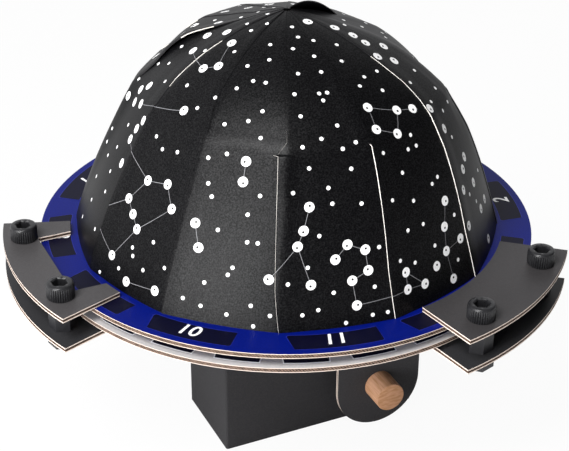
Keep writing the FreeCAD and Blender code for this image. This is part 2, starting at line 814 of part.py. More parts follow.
def make_month_ring():
    """The blue ring under the dome, with a slot for each gore's tab."""
    body = make_ring("month_ring", MONTH_LOW, RING_RADIUS, RING_BORE, S["board_thick"])
    slot = sketch_on(body, "XY_Plane", turn=FIRST_GORE_TURN)
    gap = S["tab_slot_gap"]
    half = S["tab_wide"] / 2
    outer = S["dome_radius"]
    rectangle(slot, outer - S["dome_card_thick"] - gap, outer + gap, -half - gap, half + gap)
    cut = pocket(body, slot, reverse=True)
    pattern = body.newObject("PartDesign::PolarPattern", "month_ring_slots")
    pattern.Originals = [cut]
    pattern.Axis = (origin_feature(body, "Z_Axis"), [""])
    pattern.Angle = 360
    pattern.Occurrences = GORE_COUNT
    body.Tip = pattern
    doc.recompute()


def make_apex_patch():
    """The small patch inside the top, with a side for each gore, that the gores' tips are glued to. It
    lies under the lowest card above it, at its own rim or at the gores' tips."""
    lowest = lower_of(card_height(S["apex_patch_flats"] / 2), card_height(S["tip_radius"]))
    under = MONTH_TOP + lowest - S["apex_patch_gap"] - S["dome_card_thick"] * 2
    body = new_body("apex_patch", under, FIRST_GORE_TURN)
    face = sketch_on(body, "XY_Plane")
    polygon(face, GORE_COUNT, S["apex_patch_flats"])
    pad(body, face, S["dome_card_thick"])


# Lamp

def make_lamp_housing():
    """The eight-sided tray that holds the cell, glued to the base plate, with the switch's slot."""
    body = new_body("lamp_housing", PLATE_TOP)
    outside = sketch_on(body, "XY_Plane")
    polygon(outside, LAMP_SIDES, S["lamp_flats"])
    pad(body, outside, LAMP_RIM - PLATE_TOP)
    inside = sketch_on(body, "XY_Plane", S["lamp_floor"])
    polygon(inside, LAMP_SIDES, LAMP_INSIDE * 2)
    pocket(body, inside, LAMP_RIM - LAMP_WELL, reverse=True)
    slot = sketch_on(body, "XY_Plane")
    switch_slot(slot)
    pocket(body, slot, reverse=True)


def make_lamp_cover():
    """The lid, with a lip inside the tray's wall and a hole for the lamp."""
    body = new_body("lamp_cover", LAMP_RIM)
    lid = sketch_on(body, "XY_Plane")
    polygon(lid, LAMP_SIDES, S["lamp_flats"])
    circle(lid, S["led_flange_radius"] + S["card_gap"])
    pad(body, lid, S["lamp_lid_thick"])
    lip = sketch_on(body, "XY_Plane")
    outer = (LAMP_INSIDE - S["card_gap"]) * 2
    polygon(lip, LAMP_SIDES, outer)
    polygon(lip, LAMP_SIDES, outer - S["lamp_wall"] * 2)
    pad(body, lip, S["lamp_lip_deep"] - S["card_gap"], reverse=True)


def make_circuit_board():
    body = new_body("circuit_board", CIRCUIT_LOW)
    face = sketch_on(body, "XY_Plane")
    polygon(face, LAMP_SIDES, (LAMP_INSIDE - S["circuit_gap"]) * 2)
    pad(body, face, S["circuit_thick"])


def make_led():
    """The clear flat-topped lamp on the board, near the dome's centre so that the stars are sharp."""
    body = new_body("led", CIRCUIT_TOP)
    section = sketch_on(body, "XZ_Plane")
    flange, radius = S["led_flange_radius"], S["led_radius"]
    shoulder = S["led_flange_thick"]
    top = shoulder + S["led_barrel"]
    outline(section, [(0, 0), (flange, 0), (flange, shoulder), (radius, shoulder), (radius, top), (0, top)])
    turned = body.newObject("PartDesign::Revolution", "led_turned")
    turned.Profile = section
    turned.ReferenceAxis = (section, ["V_Axis"])
    turned.Angle = 360
    doc.recompute()


def make_coin_cell():
    """The coin cell, lying on its flat contact."""
    body = new_body("coin_cell", LAMP_WELL + S["contact_thick"])
    face = sketch_on(body, "XY_Plane")
    circle(face, S["cell_radius"], (0, S["cell_behind"]))
    pad(body, face, S["cell_thick"])


def make_cell_contact():
    """The flat strip on the tray's floor, under the cell."""
    body = new_body("cell_contact", LAMP_WELL)
    face = sketch_on(body, "XY_Plane")
    half_long, half_wide = S["cell_radius"] + S["contact_wide"], S["contact_wide"] / 2
    middle = S["cell_behind"]
    rectangle(face, -half_long, half_long, middle - half_wide, middle + half_wide)
    pad(body, face, S["contact_thick"])


def make_cell_spring():
    """The bowed leaf between the cell and the circuit board."""
    body = new_body("cell_spring", CELL_TOP)
    thick, half = S["contact_thick"], S["contact_wide"]
    rise = S["spring_rise"]
    bend = (half * half + rise * rise) / (rise * 2)
    section = sketch_on(body, "XZ_Plane", -S["cell_behind"])
    corners = [(-half, 0), (-half, thick), (0, rise + thick), (half, thick), (half, 0), (0, rise)]
    outline(section, corners, {1: (bend, -1), 2: (bend, -1), 4: (bend, 1), 5: (bend, 1)})
    pad(body, section, S["contact_wide"], centred=True)


def make_switch_body():
    """The switch's case under the board, hollow for the slider's foot and slotted for its stem."""
    body = new_body("switch_body", LAMP_WELL)
    face = sketch_on(body, "XY_Plane")
    middle_x, middle_y = -SWITCH_ALONG, -SWITCH_OUT
    half_long, half_deep = S["switch_long"] / 2, S["switch_deep"] / 2
    rectangle(face, middle_x - half_long, middle_x + half_long, middle_y - half_deep, middle_y + half_deep)
    pad(body, face, CIRCUIT_LOW - LAMP_WELL)
    foot_room = (S["switch_foot_long"] + S["switch_travel"]) / 2 + S["switch_gap"]
    deep_room = S["switch_deep"] / 2 - S["switch_shell"]
    hollow = sketch_on(body, "XY_Plane", S["switch_shell"])
    rectangle(hollow, middle_x - foot_room, middle_x + foot_room, middle_y - deep_room, middle_y + deep_room)
    pocket(body, hollow, S["switch_foot_tall"] + S["switch_gap"] * 2, reverse=True)
    slot = sketch_on(body, "XY_Plane")
    switch_slot(slot)
    pocket(body, slot, S["switch_shell"], reverse=True)


def make_switch_slider():
    """The slider, drawn at its off place: a foot in the case and a stem that comes out below."""
    body = new_body("switch_slider")
    middle_x, middle_y = -SWITCH_ALONG - S["switch_travel"] / 2, -SWITCH_OUT
    foot_low = LAMP_WELL + S["switch_shell"] + S["switch_gap"]
    foot = sketch_on(body, "XY_Plane", foot_low)
    half_long = S["switch_foot_long"] / 2
    half_deep = S["switch_deep"] / 2 - S["switch_shell"] - S["switch_gap"]
    rectangle(foot, middle_x - half_long, middle_x + half_long, middle_y - half_deep, middle_y + half_deep)
    pad(body, foot, S["switch_foot_tall"])
    half = S["switch_stem"] / 2
    stem = sketch_on(body, "XY_Plane", foot_low)
    rectangle(stem, middle_x - half, middle_x + half, middle_y - half, middle_y + half)
    pad(body, stem, foot_low - PLATE_LOW + S["switch_stick_out"], reverse=True)


def check_document():
    for thing in doc.Objects:
        if "Invalid" in thing.State or "Error" in thing.State:
            raise RuntimeError(f"{thing.Label} failed: {thing.State}")


def write_parts(nodes):
    os.makedirs("parts", exist_ok=True)
    for label in nodes:
        shape = doc.getObjectsByLabel(label)[0].Shape
        if shape.isNull() or not shape.isValid():
            raise RuntimeError(f"{label} has no valid shape")
        shape.exportStep(f"parts/{label}.step")
        print(f"{label}: {len(shape.Solids)} solids, {shape.Volume:.1f} mm3")


make_stand_shell()
make_stand_floor()
make_dowel()
make_base_plate()
make_ear("ear_front", -1)
make_ear("ear_rear", 1)
make_glide_pads()
make_ring("hour_ring", HOUR_LOW, RING_RADIUS, RING_BORE, S["board_thick"])
make_ring("spacer_ring", LAYER_LOW, LAYER_RADIUS, LAYER_BORE, S["board_thick"] * 2)
make_month_ring()
make_clamp_plate("clamp_plate_front", FRONT_CLAMP_TURN)
make_clamp_plate("clamp_plate_rear", REAR_CLAMP_TURN)
make_clamp_plate("clamp_plate_pointer", POINTER_CLAMP_TURN, window=True)
make_clamp_screws()
make_clamp_spacers()
make_clamp_nuts()
make_gores()
make_apex_patch()
make_lamp_housing()
make_lamp_cover()
make_circuit_board()
make_led()
make_coin_cell()
make_cell_contact()
make_cell_spring()
make_switch_body()
make_switch_slider()

doc.recompute()
check_document()

NODES = [
    "stand_shell", "stand_floor", "pivot_dowel",
    "base_plate", "ear_front", "ear_rear", "glide_pads",
    "clamp_plate_front", "clamp_plate_rear", "clamp_plate_pointer",
    "clamp_screws", "clamp_spacers", "clamp_nuts",
    "hour_ring", "spacer_ring", "month_ring", "apex_patch",
    "lamp_housing", "lamp_cover", "circuit_board", "led", "coin_cell",
    "cell_contact", "cell_spring", "switch_body", "switch_slider",
]
NODES += [f"dome_gore_{index + 1:02d}" for index in range(GORE_COUNT)]
write_parts(NODES)
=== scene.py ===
import math

import bpy
import numpy as np
from mathutils import Matrix, Vector


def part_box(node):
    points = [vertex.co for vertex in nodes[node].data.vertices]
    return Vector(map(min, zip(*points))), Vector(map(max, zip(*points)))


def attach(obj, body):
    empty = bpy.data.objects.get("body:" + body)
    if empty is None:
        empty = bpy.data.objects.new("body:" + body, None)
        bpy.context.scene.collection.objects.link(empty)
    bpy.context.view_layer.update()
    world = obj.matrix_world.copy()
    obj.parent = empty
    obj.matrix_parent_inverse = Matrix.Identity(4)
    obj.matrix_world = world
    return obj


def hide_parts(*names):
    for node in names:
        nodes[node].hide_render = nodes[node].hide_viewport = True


# The looks of a card planetarium: printed gores pricked with stars, numbered dial rings, lined boards,
# knurled cap screws, a folded black stand and a wooden dowel. Lengths are metres and Z is up.

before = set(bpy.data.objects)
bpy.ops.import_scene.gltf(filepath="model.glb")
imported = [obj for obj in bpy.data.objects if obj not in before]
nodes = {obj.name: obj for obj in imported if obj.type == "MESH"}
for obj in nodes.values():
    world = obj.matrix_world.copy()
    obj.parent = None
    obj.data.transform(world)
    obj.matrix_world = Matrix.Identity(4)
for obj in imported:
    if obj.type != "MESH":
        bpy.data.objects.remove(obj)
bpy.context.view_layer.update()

MM = 0.001
RING_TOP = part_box("month_ring")[1].z
HOUR_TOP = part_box("hour_ring")[1].z
CLAMP_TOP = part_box("clamp_plate_front")[1].z
SCREW_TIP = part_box("clamp_screws")[0].z

# Camera, measured from the photograph's perspective
CAMERA_PLACE = Vector((-218.61, -467.37, 374.23)) * MM
CAMERA_FORWARD = Vector((0.36872, 0.79062, -0.48883))
CAMERA_ROLL = 0.2322
LENS = 95.456

# Dome: the middle line of a gore is two arcs, foot to slit and slit to top, each bowed off its chord
GORE_COUNT = 12
GORE_PITCH = 360 / GORE_COUNT
HALF_GORE = GORE_PITCH / 2
FIRST_GORE = 18
FOOT = (79.2 * MM, 0.0)
SLIT = (56.0 * MM, 57.3 * MM)
TOP = (0.0, 86.3 * MM)
LOWER_BOW, UPPER_BOW = 1.8 * MM, 5.6 * MM
CARD = 0.32 * MM
# How far the card bulges between its seams at the foot, the slit and the top
BULGES = (1.5 * MM, 0.6 * MM, 0.2 * MM)
# The front of the dome leans to one side, by a power of the height, and the lean sets in between these
# degrees round from the back
BACK = 65
LEAN = 2.5 * MM
LEAN_WAY = (0.905, -0.42)
LEAN_POWER = 1.6
FRONT_FROM = (78, 98)
# The hand-glued card behind is fuller or flatter than its arcs on either side: the share by degrees round
# from the back, and millimetres by degrees up
BACK_RIGHT = [(-102, 0), (-84, 1), (-30, 1), (0, 0)]
BACK_LEFT = [(0, 0), (30, 1), (80, 1), (96, 0)]
RIGHT_FULLNESS = [(32, 0), (43, -2.2), (52, -1.4), (62, -0.4), (75, -0.9), (88, 0)]
LEFT_FULLNESS = [(44, 0), (52, -0.8), (58, 0.8), (64, 1.5), (72, -0.5), (80, -1.2), (88, 0)]
# Laps: degrees up where they change over at the slit, degrees that a lap reaches on out of sight, how
# far the card climbs over it and in how many degrees, and how softly the card bends at the slit
SLIT_PLACE = (44.0, 46.6)
HIDDEN_LAP = 2.4
LAP_RISE = 0.22 * MM
LAP_EASE, LAP_EASE_MOST = 4.0, 10
SLIT_SOFT = 4.0
# Where a lap stands open: how far under the slit, or how far up, and how far that spreads up and across
GAPE_UNDER_SLIT, GAPE_SPREAD, GAPE_ACROSS = 4, 6, 7
PEEL_UP, PEEL_SPREAD, PEEL_ACROSS = 62, 9, 12
# Grid of a gore: degrees up from and to, and how many rows, closer together at the slit
TIP_UP = 89.0
ROW_BANDS = [(0, 42.6, 35), (43, 47.4, 23), (48, TIP_UP, 42)]
GORE_COLUMNS = 39
# The gore with its tip lifted
LIFTED_GORE = 0
LIFTED_REACH = 21 * MM
LIFTED_RISE = 3.7 * MM

# Each seam by its azimuth. edge: degrees up and how far the visible edge lies from the seam, in degrees.
# pale: degrees up and how many millimetres of the pale cut edge show. gape: millimetres that the lap
# stands open just below the slit, and peel above it. slit: degrees up where the laps change over, if
# not at SLIT_PLACE. straight: the same gore stays on top past the slit.
SEAMS = {
    -177: dict(edge=[(6, 0.5), (22, -0.5), (35, -0.8), (48, -0.3), (56, -2.5), (65, -2.5), (72, -1.2)],
               pale=[(0, 0.03), (50, 0.03), (53, 0.08), (66, 0.12), (70, 0.09), (72, 0.03)], gape=0.1),
    -147: dict(edge=[(0, 0.0), (20, 0.7), (45, 0.7), (56, -3), (70, -3)], pale=[(0, 0.05)], gape=0.1),
    -117: dict(edge=[(0, 0.2), (10, -1.2), (21, -2), (33, -2.8), (44, -3.3), (47, -0.3), (58, -1.5),
                     (67, -1.2)],
               pale=[(0, 0.13), (48, 0.13), (50, 0.04)], gape=0.9, slit=(43.4, 44.2)),
    -87: dict(edge=[(0, -0.3), (12, -1), (43, -1), (45, -0.8), (53, -1), (61, -2)],
              pale=[(0, 0.14), (43, 0.14), (46, 0.03)], gape=0.3),
    -57: dict(edge=[(0, -0.5), (13, -1), (37, 0), (44, -0.5), (50, 1), (56, 1), (61, -0.3), (66, -1)],
              pale=[(0, 0.1), (65, 0.1), (67, 0.03)], gape=0.1, straight=True),
    153: dict(edge=[(0, -1), (44, -1), (47, 1), (70, 1)],
              pale=[(0, 0.03), (60, 0.03), (62, 0.1), (70, 0.1), (72, 0.03)], gape=0.2, peel=1.6),
    -27: dict(edge=[(0, -1), (44, -1), (47, 1), (70, 1)], pale=[(0, 0.03)], gape=0.1),
}
PLAIN_SEAM = dict(edge=[(0, -1), (44, -1), (47, 1), (70, 1)],
                  pale=[(0, 0.1), (60, 0.1), (66, 0.03)], gape=0.2)
# The cut is left pale where at least so many millimetres of it show, and they shrink to none between
# these degrees up
PALE_FROM = 0.08
PALE_FADES = (78, 88)

# Bright stars of each gore: degrees from its middle and degrees up, to half degrees
STARS = {
    5: [(5, 73.5), (-7, 68.5), (1, 63.5), (-1.5, 48.5), (-5.5, 45.5), (-12.5, 40.5), (-4.5, 42), (3, 44),
        (12.5, 42), (10, 39), (9, 35.5), (11, 29)],
    6: [(-6.5, 72), (0.5, 64.5), (-7.5, 62), (-0.5, 50), (-3, 30), (5.5, 31.5), (-8, 23), (10, 26),
        (-4, 20), (-0.5, 17), (-7, 7), (1, 3), (11.5, 4.5)],
    7: [(1, 42), (1, 37), (-11, 24.5), (-8.5, 18.5), (12, 13)],
    8: [(-8, 31.5), (-9.5, 25.5), (-11, 21.5), (-7, 11.5), (3, 21), (-0.5, 17.5), (8, 19), (8.5, 13.5),
        (4, 11.5), (5, 5)],
    9: [(-10.5, 54), (2, 51), (9.5, 49.5), (-11.5, 48), (-3.5, 45.5), (8.5, 24), (6, 17.5), (11.5, 12),
        (5, 11), (0.5, 8.5), (-10.5, 10.5), (-4.5, 5.5), (-10.5, 6), (6, 3), (0.5, 83)],
    10: [(-8, 77.5), (-4.5, 73), (-5, 69.5), (4.5, 65.5), (-11.5, 65), (-3.5, 61.5), (-12.5, 47),
         (-9.5, 40.5), (-2, 29.5), (-6.5, 27.5), (-11, 23), (-1, 21), (-13.5, 13.5), (-0.5, 12.5),
         (5.5, 12.5), (0, 3)],
}
# Small dots, in the same way, to whole degrees
DOTS = {
    5: [(11, 66), (-5, 56), (10, 79), (-12, 53), (7, 53), (1, 37), (-12, 30), (-11, 26), (-6, 17),
        (8, 19), (-1, 12), (3, 85), (-11, 61), (1, 30), (-4, 25), (5, 24), (11, 9), (-13, 46), (-4, 5)],
    6: [(-7, 41), (5, 52), (-8, 56), (11, 56), (-2, 39), (5, 40), (1, 10), (6, 8), (7, 16), (0, 12),
        (13, 11), (-3, 5), (-10, 1), (3, 70), (-3, 78), (8, 82)],
    7: [(2, 3), (13, 4), (9, 1), (4, 55), (8, 6), (-5, 4), (3, 63), (-10, 50), (7, 34), (-4, 24),
        (8, 22), (1, 13), (-10, 5), (-11, 67), (-4, 63), (-1, 52), (-6, 43), (-12, 41), (-10, 35),
        (-8, 32), (4, 29), (5, 22), (2, 15), (-5, 10), (-11, 60), (5, 48), (-1, 75), (2, 70)],
    8: [(-3, 48), (-1, 32), (4, 51), (6, 40), (-2, 36), (8, 31), (12, 19), (-8, 41), (-13, 35), (-5, 24),
        (-5, 5), (9, 46), (-10, 46), (4, 45), (-8, 16), (-13, 12), (10, 9), (-1, 9), (2, 1), (-9, 66),
        (-12, 60), (9, 2), (-9, 4), (0, 60), (4, 60), (1, 58), (-10, 54), (13, 2), (5, 66), (-6, 82),
        (-2, 78), (-10, 74), (5, 71), (12, 76)],
    9: [(-8, 68), (8, 62), (2, 57), (2, 44), (-6, 36), (-2, 62), (-8, 60), (3, 41), (-12, 42), (8, 31),
        (-4, 28), (-2, 21), (-8, 21), (-7, 12), (0, 73), (-1, 41), (-12, 30), (1, 14), (-12, 14),
        (5, 30), (11, 19), (9, 7)],
    10: [(-10, 55), (-8, 48), (9, 76), (2, 56), (3, 49), (-4, 44), (4, 44), (-6, 37), (7, 21), (-7, 20),
         (-3, 16)],
}
# Lines between the bright stars of one gore, by their places in its list
LINES = {
    6: [(0, 1), (1, 2), (4, 5), (5, 7), (7, 9), (9, 8), (8, 6), (6, 4), (9, 10), (11, 12)],
    7: [(0, 1), (2, 3)],
    8: [(0, 1), (1, 2), (2, 3), (5, 4), (4, 6), (6, 7), (7, 8), (8, 9)],
    9: [(0, 1), (1, 2), (0, 3), (3, 4), (1, 4), (5, 6), (6, 8), (8, 7), (8, 13), (10, 11), (11, 12),
        (10, 12)],
}
# Lines that cross a seam: a gore and its star, the gore to its right and the star there
CROSSINGS = [(5, 2, 6, 2), (5, 7, 6, 3), (5, 10, 6, 4), (7, 4, 8, 2), (8, 9, 9, 12)]
# Lines from a star of a gore to a place on its edge
LOOSE_LINES = {6: [(6, (-15, 18)), (10, (-15, 11))]}
STAR_RADIUS, STAR_SIDES = 1.8 * MM, 24
PINHOLE_RADIUS, PINHOLE_SIDES = 0.42 * MM, 10
PINHOLE_OFFSET = 0.45 * MM
PINHOLE_SEED = 80
DOT_RADIUS, DOT_SIDES = 0.75 * MM, 12
LINE_WIDTH, LINE_STEP = 0.2 * MM, 0.7 * MM
LINE_INSET = STAR_RADIUS * 0.9
INK_RISE = 0.04 * MM
STAR_RISE, PINHOLE_RISE = INK_RISE * 1.5, INK_RISE * 2.2

# Dials. Some labels sit a little off their twelfth, by their number: degrees of shift
MONTHS = 12
FIRST_MONTH_TURN = 15
FIRST_MONTH_NUMBER = 3
LABEL_INNER, LABEL_OUTER = 83.4 * MM, 92.4 * MM
LABEL_HALF = 10.8
LABEL_CORNER, LABEL_LINE = 1.2 * MM, 0.2 * MM
LABEL_SHIFTS = {10: -1.9, 11: 1.4, 12: -0.5}
NUMBER_TALL = 6.2 * MM
NUMBER_MIDDLE = 87.0 * MM
NUMBER_SLANT, NUMBER_WEIGHT = 0.12, 0.014
HOURS = 24
FIRST_HOUR_TURN = 9.5
HOUR_OUTER, HOUR_INNER = 91.9 * MM, 84.0 * MM
HOUR_OUTER_HALF, HOUR_INNER_HALF = 4.8, 5.6
HOUR_MARGIN = 0.45 * MM
# Boards: the liners of a plain one and of a ring, the rings' rim, the marks round it and the ears' card
LINER, RING_LINER = 0.42 * MM, 0.22 * MM
RIM_RADIUS = 95 * MM
SCORCH_PITCH = 1.1 * MM
EAR_CARD = 1.4 * MM

# Screws
BOLT_CIRCLE = 101.1 * MM
BOLT_ANGLE = 13.0
CLAMP_TURNS = (-60, 60, 180)
SCREW_SIDES = 144
SCREW_HEAD = 5.1 * MM
SCREW_HEAD_TALL = 6.0 * MM
SCREW_SHANK = 3.0 * MM
KNURL_RIBS, KNURL_DEEP = 36, 0.45 * MM
SOCKET_FLAT, SOCKET_DEEP = 2.5 * MM, 3.1 * MM
THREAD_PITCH, THREAD_DEEP = 1.0 * MM, 0.25 * MM
THREAD_FROM, THREAD_TO = 0.4 * MM, 6.2 * MM
# Smallest radius, which closes a point
POLE = 0.01 * MM

# Dowel
DOWEL_SIDES = 64
DOWEL_EDGE = 0.35 * MM

# Floor
FLOOR_REACH = 6
FLOOR_RINGS, FLOOR_SIDES = 24, 64
FLOOR_GLOW = 0.94


# Materials

def srgb(text):
    """An sRGB hex colour as linear RGBA."""
    shares = [int(text[place:place + 2], 16) / 255 for place in (1, 3, 5)]
    linear = [share / 12.92 if share <= 0.04045 else ((share + 0.055) / 1.055) ** 2.4 for share in shares]
    return (*linear, 1.0)


def add(tree, kind, links=None, **settings):
    """Add a node with its settings. links gives an input a value, a socket, or a node whose first live
    output feeds it."""
    node = tree.nodes.new(kind)
    for name, value in settings.items():
        setattr(node, name, value)
    for name, value in (links or {}).items():
        if isinstance(value, bpy.types.Node):
            value = next(output for output in value.outputs if output.enabled)
        if isinstance(value, bpy.types.NodeSocket):
            tree.links.new(value, node.inputs[name])
        else:
            node.inputs[name].default_value = value
    return node


def noise(tree, place, grain, detail):
    """Soft noise with a grain so many metres across."""
    return add(tree, "ShaderNodeTexNoise", {"Vector": place, "Scale": 1 / grain, "Detail": detail})


def ranged(tree, value, low, high, to_low=0.0, to_high=1.0):
    """A value held between low and high, and stretched to run from to_low to to_high."""
    return add(tree, "ShaderNodeMapRange",
               {"Value": value, "From Min": low, "From Max": high, "To Min": to_low, "To Max": to_high})


def blend(tree, share, first, second):
    """The first colour where share is 0 and the second where it is 1. Each is a hex colour or a node."""
    first, second = (srgb(tone) if isinstance(tone, str) else tone for tone in (first, second))
    return add(tree, "ShaderNodeMix", {0: share, 6: first, 7: second}, data_type="RGBA")


def maths(tree, operation, *values):
    return add(tree, "ShaderNodeMath", dict(enumerate(values)), operation=operation)


def start_material(name):
    """An empty material, its tree and the coordinates that its patterns follow."""
    material = bpy.data.materials.new(name)
    material.use_nodes = True
    tree = material.node_tree
    tree.nodes.clear()
    coords = add(tree, "ShaderNodeTexCoord")
    return material, tree, coords.outputs["Object"], coords.outputs["Normal"]


def finish_material(tree, links):
    """The shader, with its constants on its own sockets, and the output."""
    shader = add(tree, "ShaderNodeBsdfPrincipled", links)
    add(tree, "ShaderNodeOutputMaterial", {"Surface": shader})


def laminated_print(name, dark, light, rough, gloss):
    """Black print under a matt film, on card. The film's grit, under a millimetre as drawn, breaks its
    sheen into fine specks, and it is a little paler where hands have rubbed it."""
    material, tree, place, _ = start_material(name)
    grit = noise(tree, place, 0.5 * MM, 2.0)
    rubbed = noise(tree, place, 16 * MM, 3.0)
    specks = ranged(tree, grit, 0.45, 0.7)
    tone = blend(tree, specks, dark, light)
    worn = ranged(tree, rubbed, 0.5, 0.8, to_high=0.25)
    colour = blend(tree, worn, tone, light)
    sheen = ranged(tree, grit, 0.3, 0.7, rough - 0.08, rough + 0.08)
    relief = add(tree, "ShaderNodeBump", {"Height": grit, "Distance": 0.05 * MM, "Strength": 0.5})
    sparkle = ranged(tree, grit, 0.4, 0.7, gloss * 0.6, gloss * 1.8)
    finish_material(tree, {"Base Color": colour, "Roughness": sheen, "Normal": relief,
                           "Specular IOR Level": sparkle})
    return material


def cut_card(name, tone, shade):
    """The cut edge of card, fibres a little uneven: pale for the raw card, and given dark tones, a cut
    edge painted as shade.
    """
    material, tree, place, _ = start_material(name)
    fibre = noise(tree, place, 0.8 * MM, 3.0)
    share = ranged(tree, fibre, 0.35, 0.7)
    colour = blend(tree, share, shade, tone)
    finish_material(tree, {"Base Color": colour, "Roughness": 0.85, "Specular IOR Level": 0.2})
    return material


def printed_ink(name, tone, shade, rough=0.5, gloss=0.3):
    """Offset ink on card: even, with a faint mottle where it lies on the card's grit."""
    material, tree, place, _ = start_material(name)
    grit = noise(tree, place, 0.5 * MM, 2.0)
    share = ranged(tree, grit, 0.4, 0.75)
    colour = blend(tree, share, tone, shade)
    finish_material(tree, {"Base Color": colour, "Roughness": rough, "Specular IOR Level": gloss})
    return material


def lined_board(name, top, top_shade, low, high, axis="Z", rough=0.5, gloss=0.3, core="#5a4538",
                liner=LINER):
    """Grey board lined with white paper on both faces and printed over. The flat faces show the print.
    The laser-cut edges show the pale liner at each face, and between them the scorched brown core with
    slanted marks about a millimetre apart round the rim."""
    material, tree, place, facing = start_material(name)
    spot = add(tree, "ShaderNodeSeparateXYZ", {0: place}).outputs[axis]
    across = add(tree, "ShaderNodeSeparateXYZ", {0: facing}).outputs[axis]
    flat = maths(tree, "ABSOLUTE", across)
    off_middle = maths(tree, "SUBTRACT", spot, (low + high) / 2)
    depth = maths(tree, "ABSOLUTE", off_middle)
    half = (high - low) / 2
    lined = ranged(tree, depth, half - liner - 0.04 * MM, half - liner + 0.04 * MM)
    spots = add(tree, "ShaderNodeSeparateXYZ", {0: place})
    round_rim = maths(tree, "ARCTAN2", spots.outputs["Y"], spots.outputs["X"])
    climbed = maths(tree, "MULTIPLY", spot, 2 * math.pi / SCORCH_PITCH)
    slanted = maths(tree, "MULTIPLY_ADD", round_rim, 2 * math.pi * RIM_RADIUS / SCORCH_PITCH, climbed)
    marks = maths(tree, "SINE", slanted)
    fibre = noise(tree, place, 0.7 * MM, 2.0)
    burnt = maths(tree, "MULTIPLY_ADD", marks, 0.2, fibre)
    scorched = ranged(tree, burnt, 0.32, 0.62)
    inner = blend(tree, scorched, "#241c17", core)
    edge = blend(tree, lined, inner, "#e6d6ca")
    grit = noise(tree, place, 0.6 * MM, 3.0)
    mottle = ranged(tree, grit, 0.35, 0.75)
    face = blend(tree, mottle, top, top_shade)
    is_face = ranged(tree, flat, 0.5, 0.6)
    colour = blend(tree, is_face, edge, face)
    sheen = ranged(tree, flat, 0.5, 0.6, 0.85, rough)
    relief = add(tree, "ShaderNodeBump", {"Height": grit, "Distance": 0.03 * MM, "Strength": 0.4})
    finish_material(tree, {"Base Color": colour, "Roughness": sheen, "Normal": relief,
                           "Specular IOR Level": gloss})
    return material


def filled_nylon(name, tone, shade, rough):
    """Glass-filled black nylon, moulded: dull, with a faint mottle of fibres near a millimetre across."""
    material, tree, place, _ = start_material(name)
    mottle = noise(tree, place, 0.9 * MM, 3.0)
    colour = blend(tree, mottle, tone, shade)
    sheen = ranged(tree, mottle, 0.3, 0.7, rough - 0.06, rough + 0.08)
    relief = add(tree, "ShaderNodeBump", {"Height": mottle, "Distance": 0.03 * MM, "Strength": 0.5})
    finish_material(tree, {"Base Color": colour, "Roughness": sheen, "Normal": relief,
                           "Specular IOR Level": 0.4})
    return material


def bare_beech(name, pale, brown, end_tone):
    """Beech turned to a rod and left bare: straight grain along Y under a millimetre wide with short
    flecks, and darker growth rings on the end grain."""
    material, tree, place, facing = start_material(name)
    along = add(tree, "ShaderNodeSeparateXYZ", {0: facing}).outputs["Y"]
    flat = maths(tree, "ABSOLUTE", along)
    grain_place = add(tree, "ShaderNodeMapping", {0: place, 3: (1, 0.07, 1)})
    grain = noise(tree, grain_place, 0.7 * MM, 4.0)
    fleck_place = add(tree, "ShaderNodeMapping", {0: place, 3: (1, 0.25, 1)})
    fleck = noise(tree, fleck_place, 0.5 * MM, 2.0)
    ring_place = add(tree, "ShaderNodeMapping", {0: place, 3: (0.35, 1, 1.2)})
    rings = noise(tree, ring_place, 1.1 * MM, 3.0)
    grained = ranged(tree, grain, 0.35, 0.7)
    side = blend(tree, grained, pale, brown)
    flecked = ranged(tree, fleck, 0.62, 0.8, to_high=0.5)
    side = blend(tree, flecked, side, brown)
    ringed = ranged(tree, rings, 0.35, 0.65)
    end = blend(tree, ringed, end_tone, brown)
    is_end = ranged(tree, flat, 0.6, 0.8)
    colour = blend(tree, is_end, side, end)
    relief = add(tree, "ShaderNodeBump", {"Height": grain, "Distance": 0.06 * MM, "Strength": 0.5})
    finish_material(tree, {"Base Color": colour, "Roughness": 0.62, "Normal": relief,
                           "Specular IOR Level": 0.3})
    return material


def rolled_metal(name, tone, rough):
    """Rolled sheet metal: even, with faint brushing along X."""
    material, tree, place, _ = start_material(name)
    brushed_place = add(tree, "ShaderNodeMapping", {0: place, 3: (0.08, 1, 1)})
    brushed = noise(tree, brushed_place, 0.3 * MM, 2.0)
    streaks = ranged(tree, brushed, 0.4, 0.7, to_high=0.2)
    colour = blend(tree, streaks, tone, "#ffffff")
    sheen = ranged(tree, brushed, 0.3, 0.7, rough, rough + 0.12)
    finish_material(tree, {"Base Color": colour, "Roughness": sheen, "Metallic": 1.0})
    return material


# Mesh helpers

def grid_faces(rows, columns, first=0, closed=False):
    """Four-sided faces of a grid of points, row after row. closed joins the last column to the first."""
    row = np.arange(rows - 1)[:, None]
    column = np.arange(columns if closed else columns - 1)[None, :]
    after = (column + 1) % columns
    here, beyond = first + row * columns, first + (row + 1) * columns
    return np.stack([here + column, here + after, beyond + after, beyond + column], -1).reshape(-1, 4)


def make_piece(name, points, faces, body, materials, parts=None, smooth=True):
    """A finished piece that rides on a body. parts gives each face the place of its material."""
    mesh = bpy.data.meshes.new(name)
    corners = [list(map(int, face)) for face in faces]
    mesh.from_pydata(np.asarray(points).reshape(-1, 3).tolist(), [], corners)
    for material in materials:
        mesh.materials.append(material)
    if parts is not None:
        mesh.polygons.foreach_set("material_index", np.asarray(parts, np.int32))
    mesh.polygons.foreach_set("use_smooth", np.full(len(mesh.polygons), smooth))
    mesh.update()
    piece = bpy.data.objects.new(name, mesh)
    bpy.context.scene.collection.objects.link(piece)
    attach(piece, body)
    return piece


def ease(value, low, high):
    """0 below low, 1 above high and a smooth step between."""
    share = np.clip((value - low) / (high - low), 0, 1)
    return share * share * (3 - 2 * share)


def between(value, places):
    """A value's number, read along a list of places and numbers."""
    return np.interp(value, *zip(*places))


# Dome

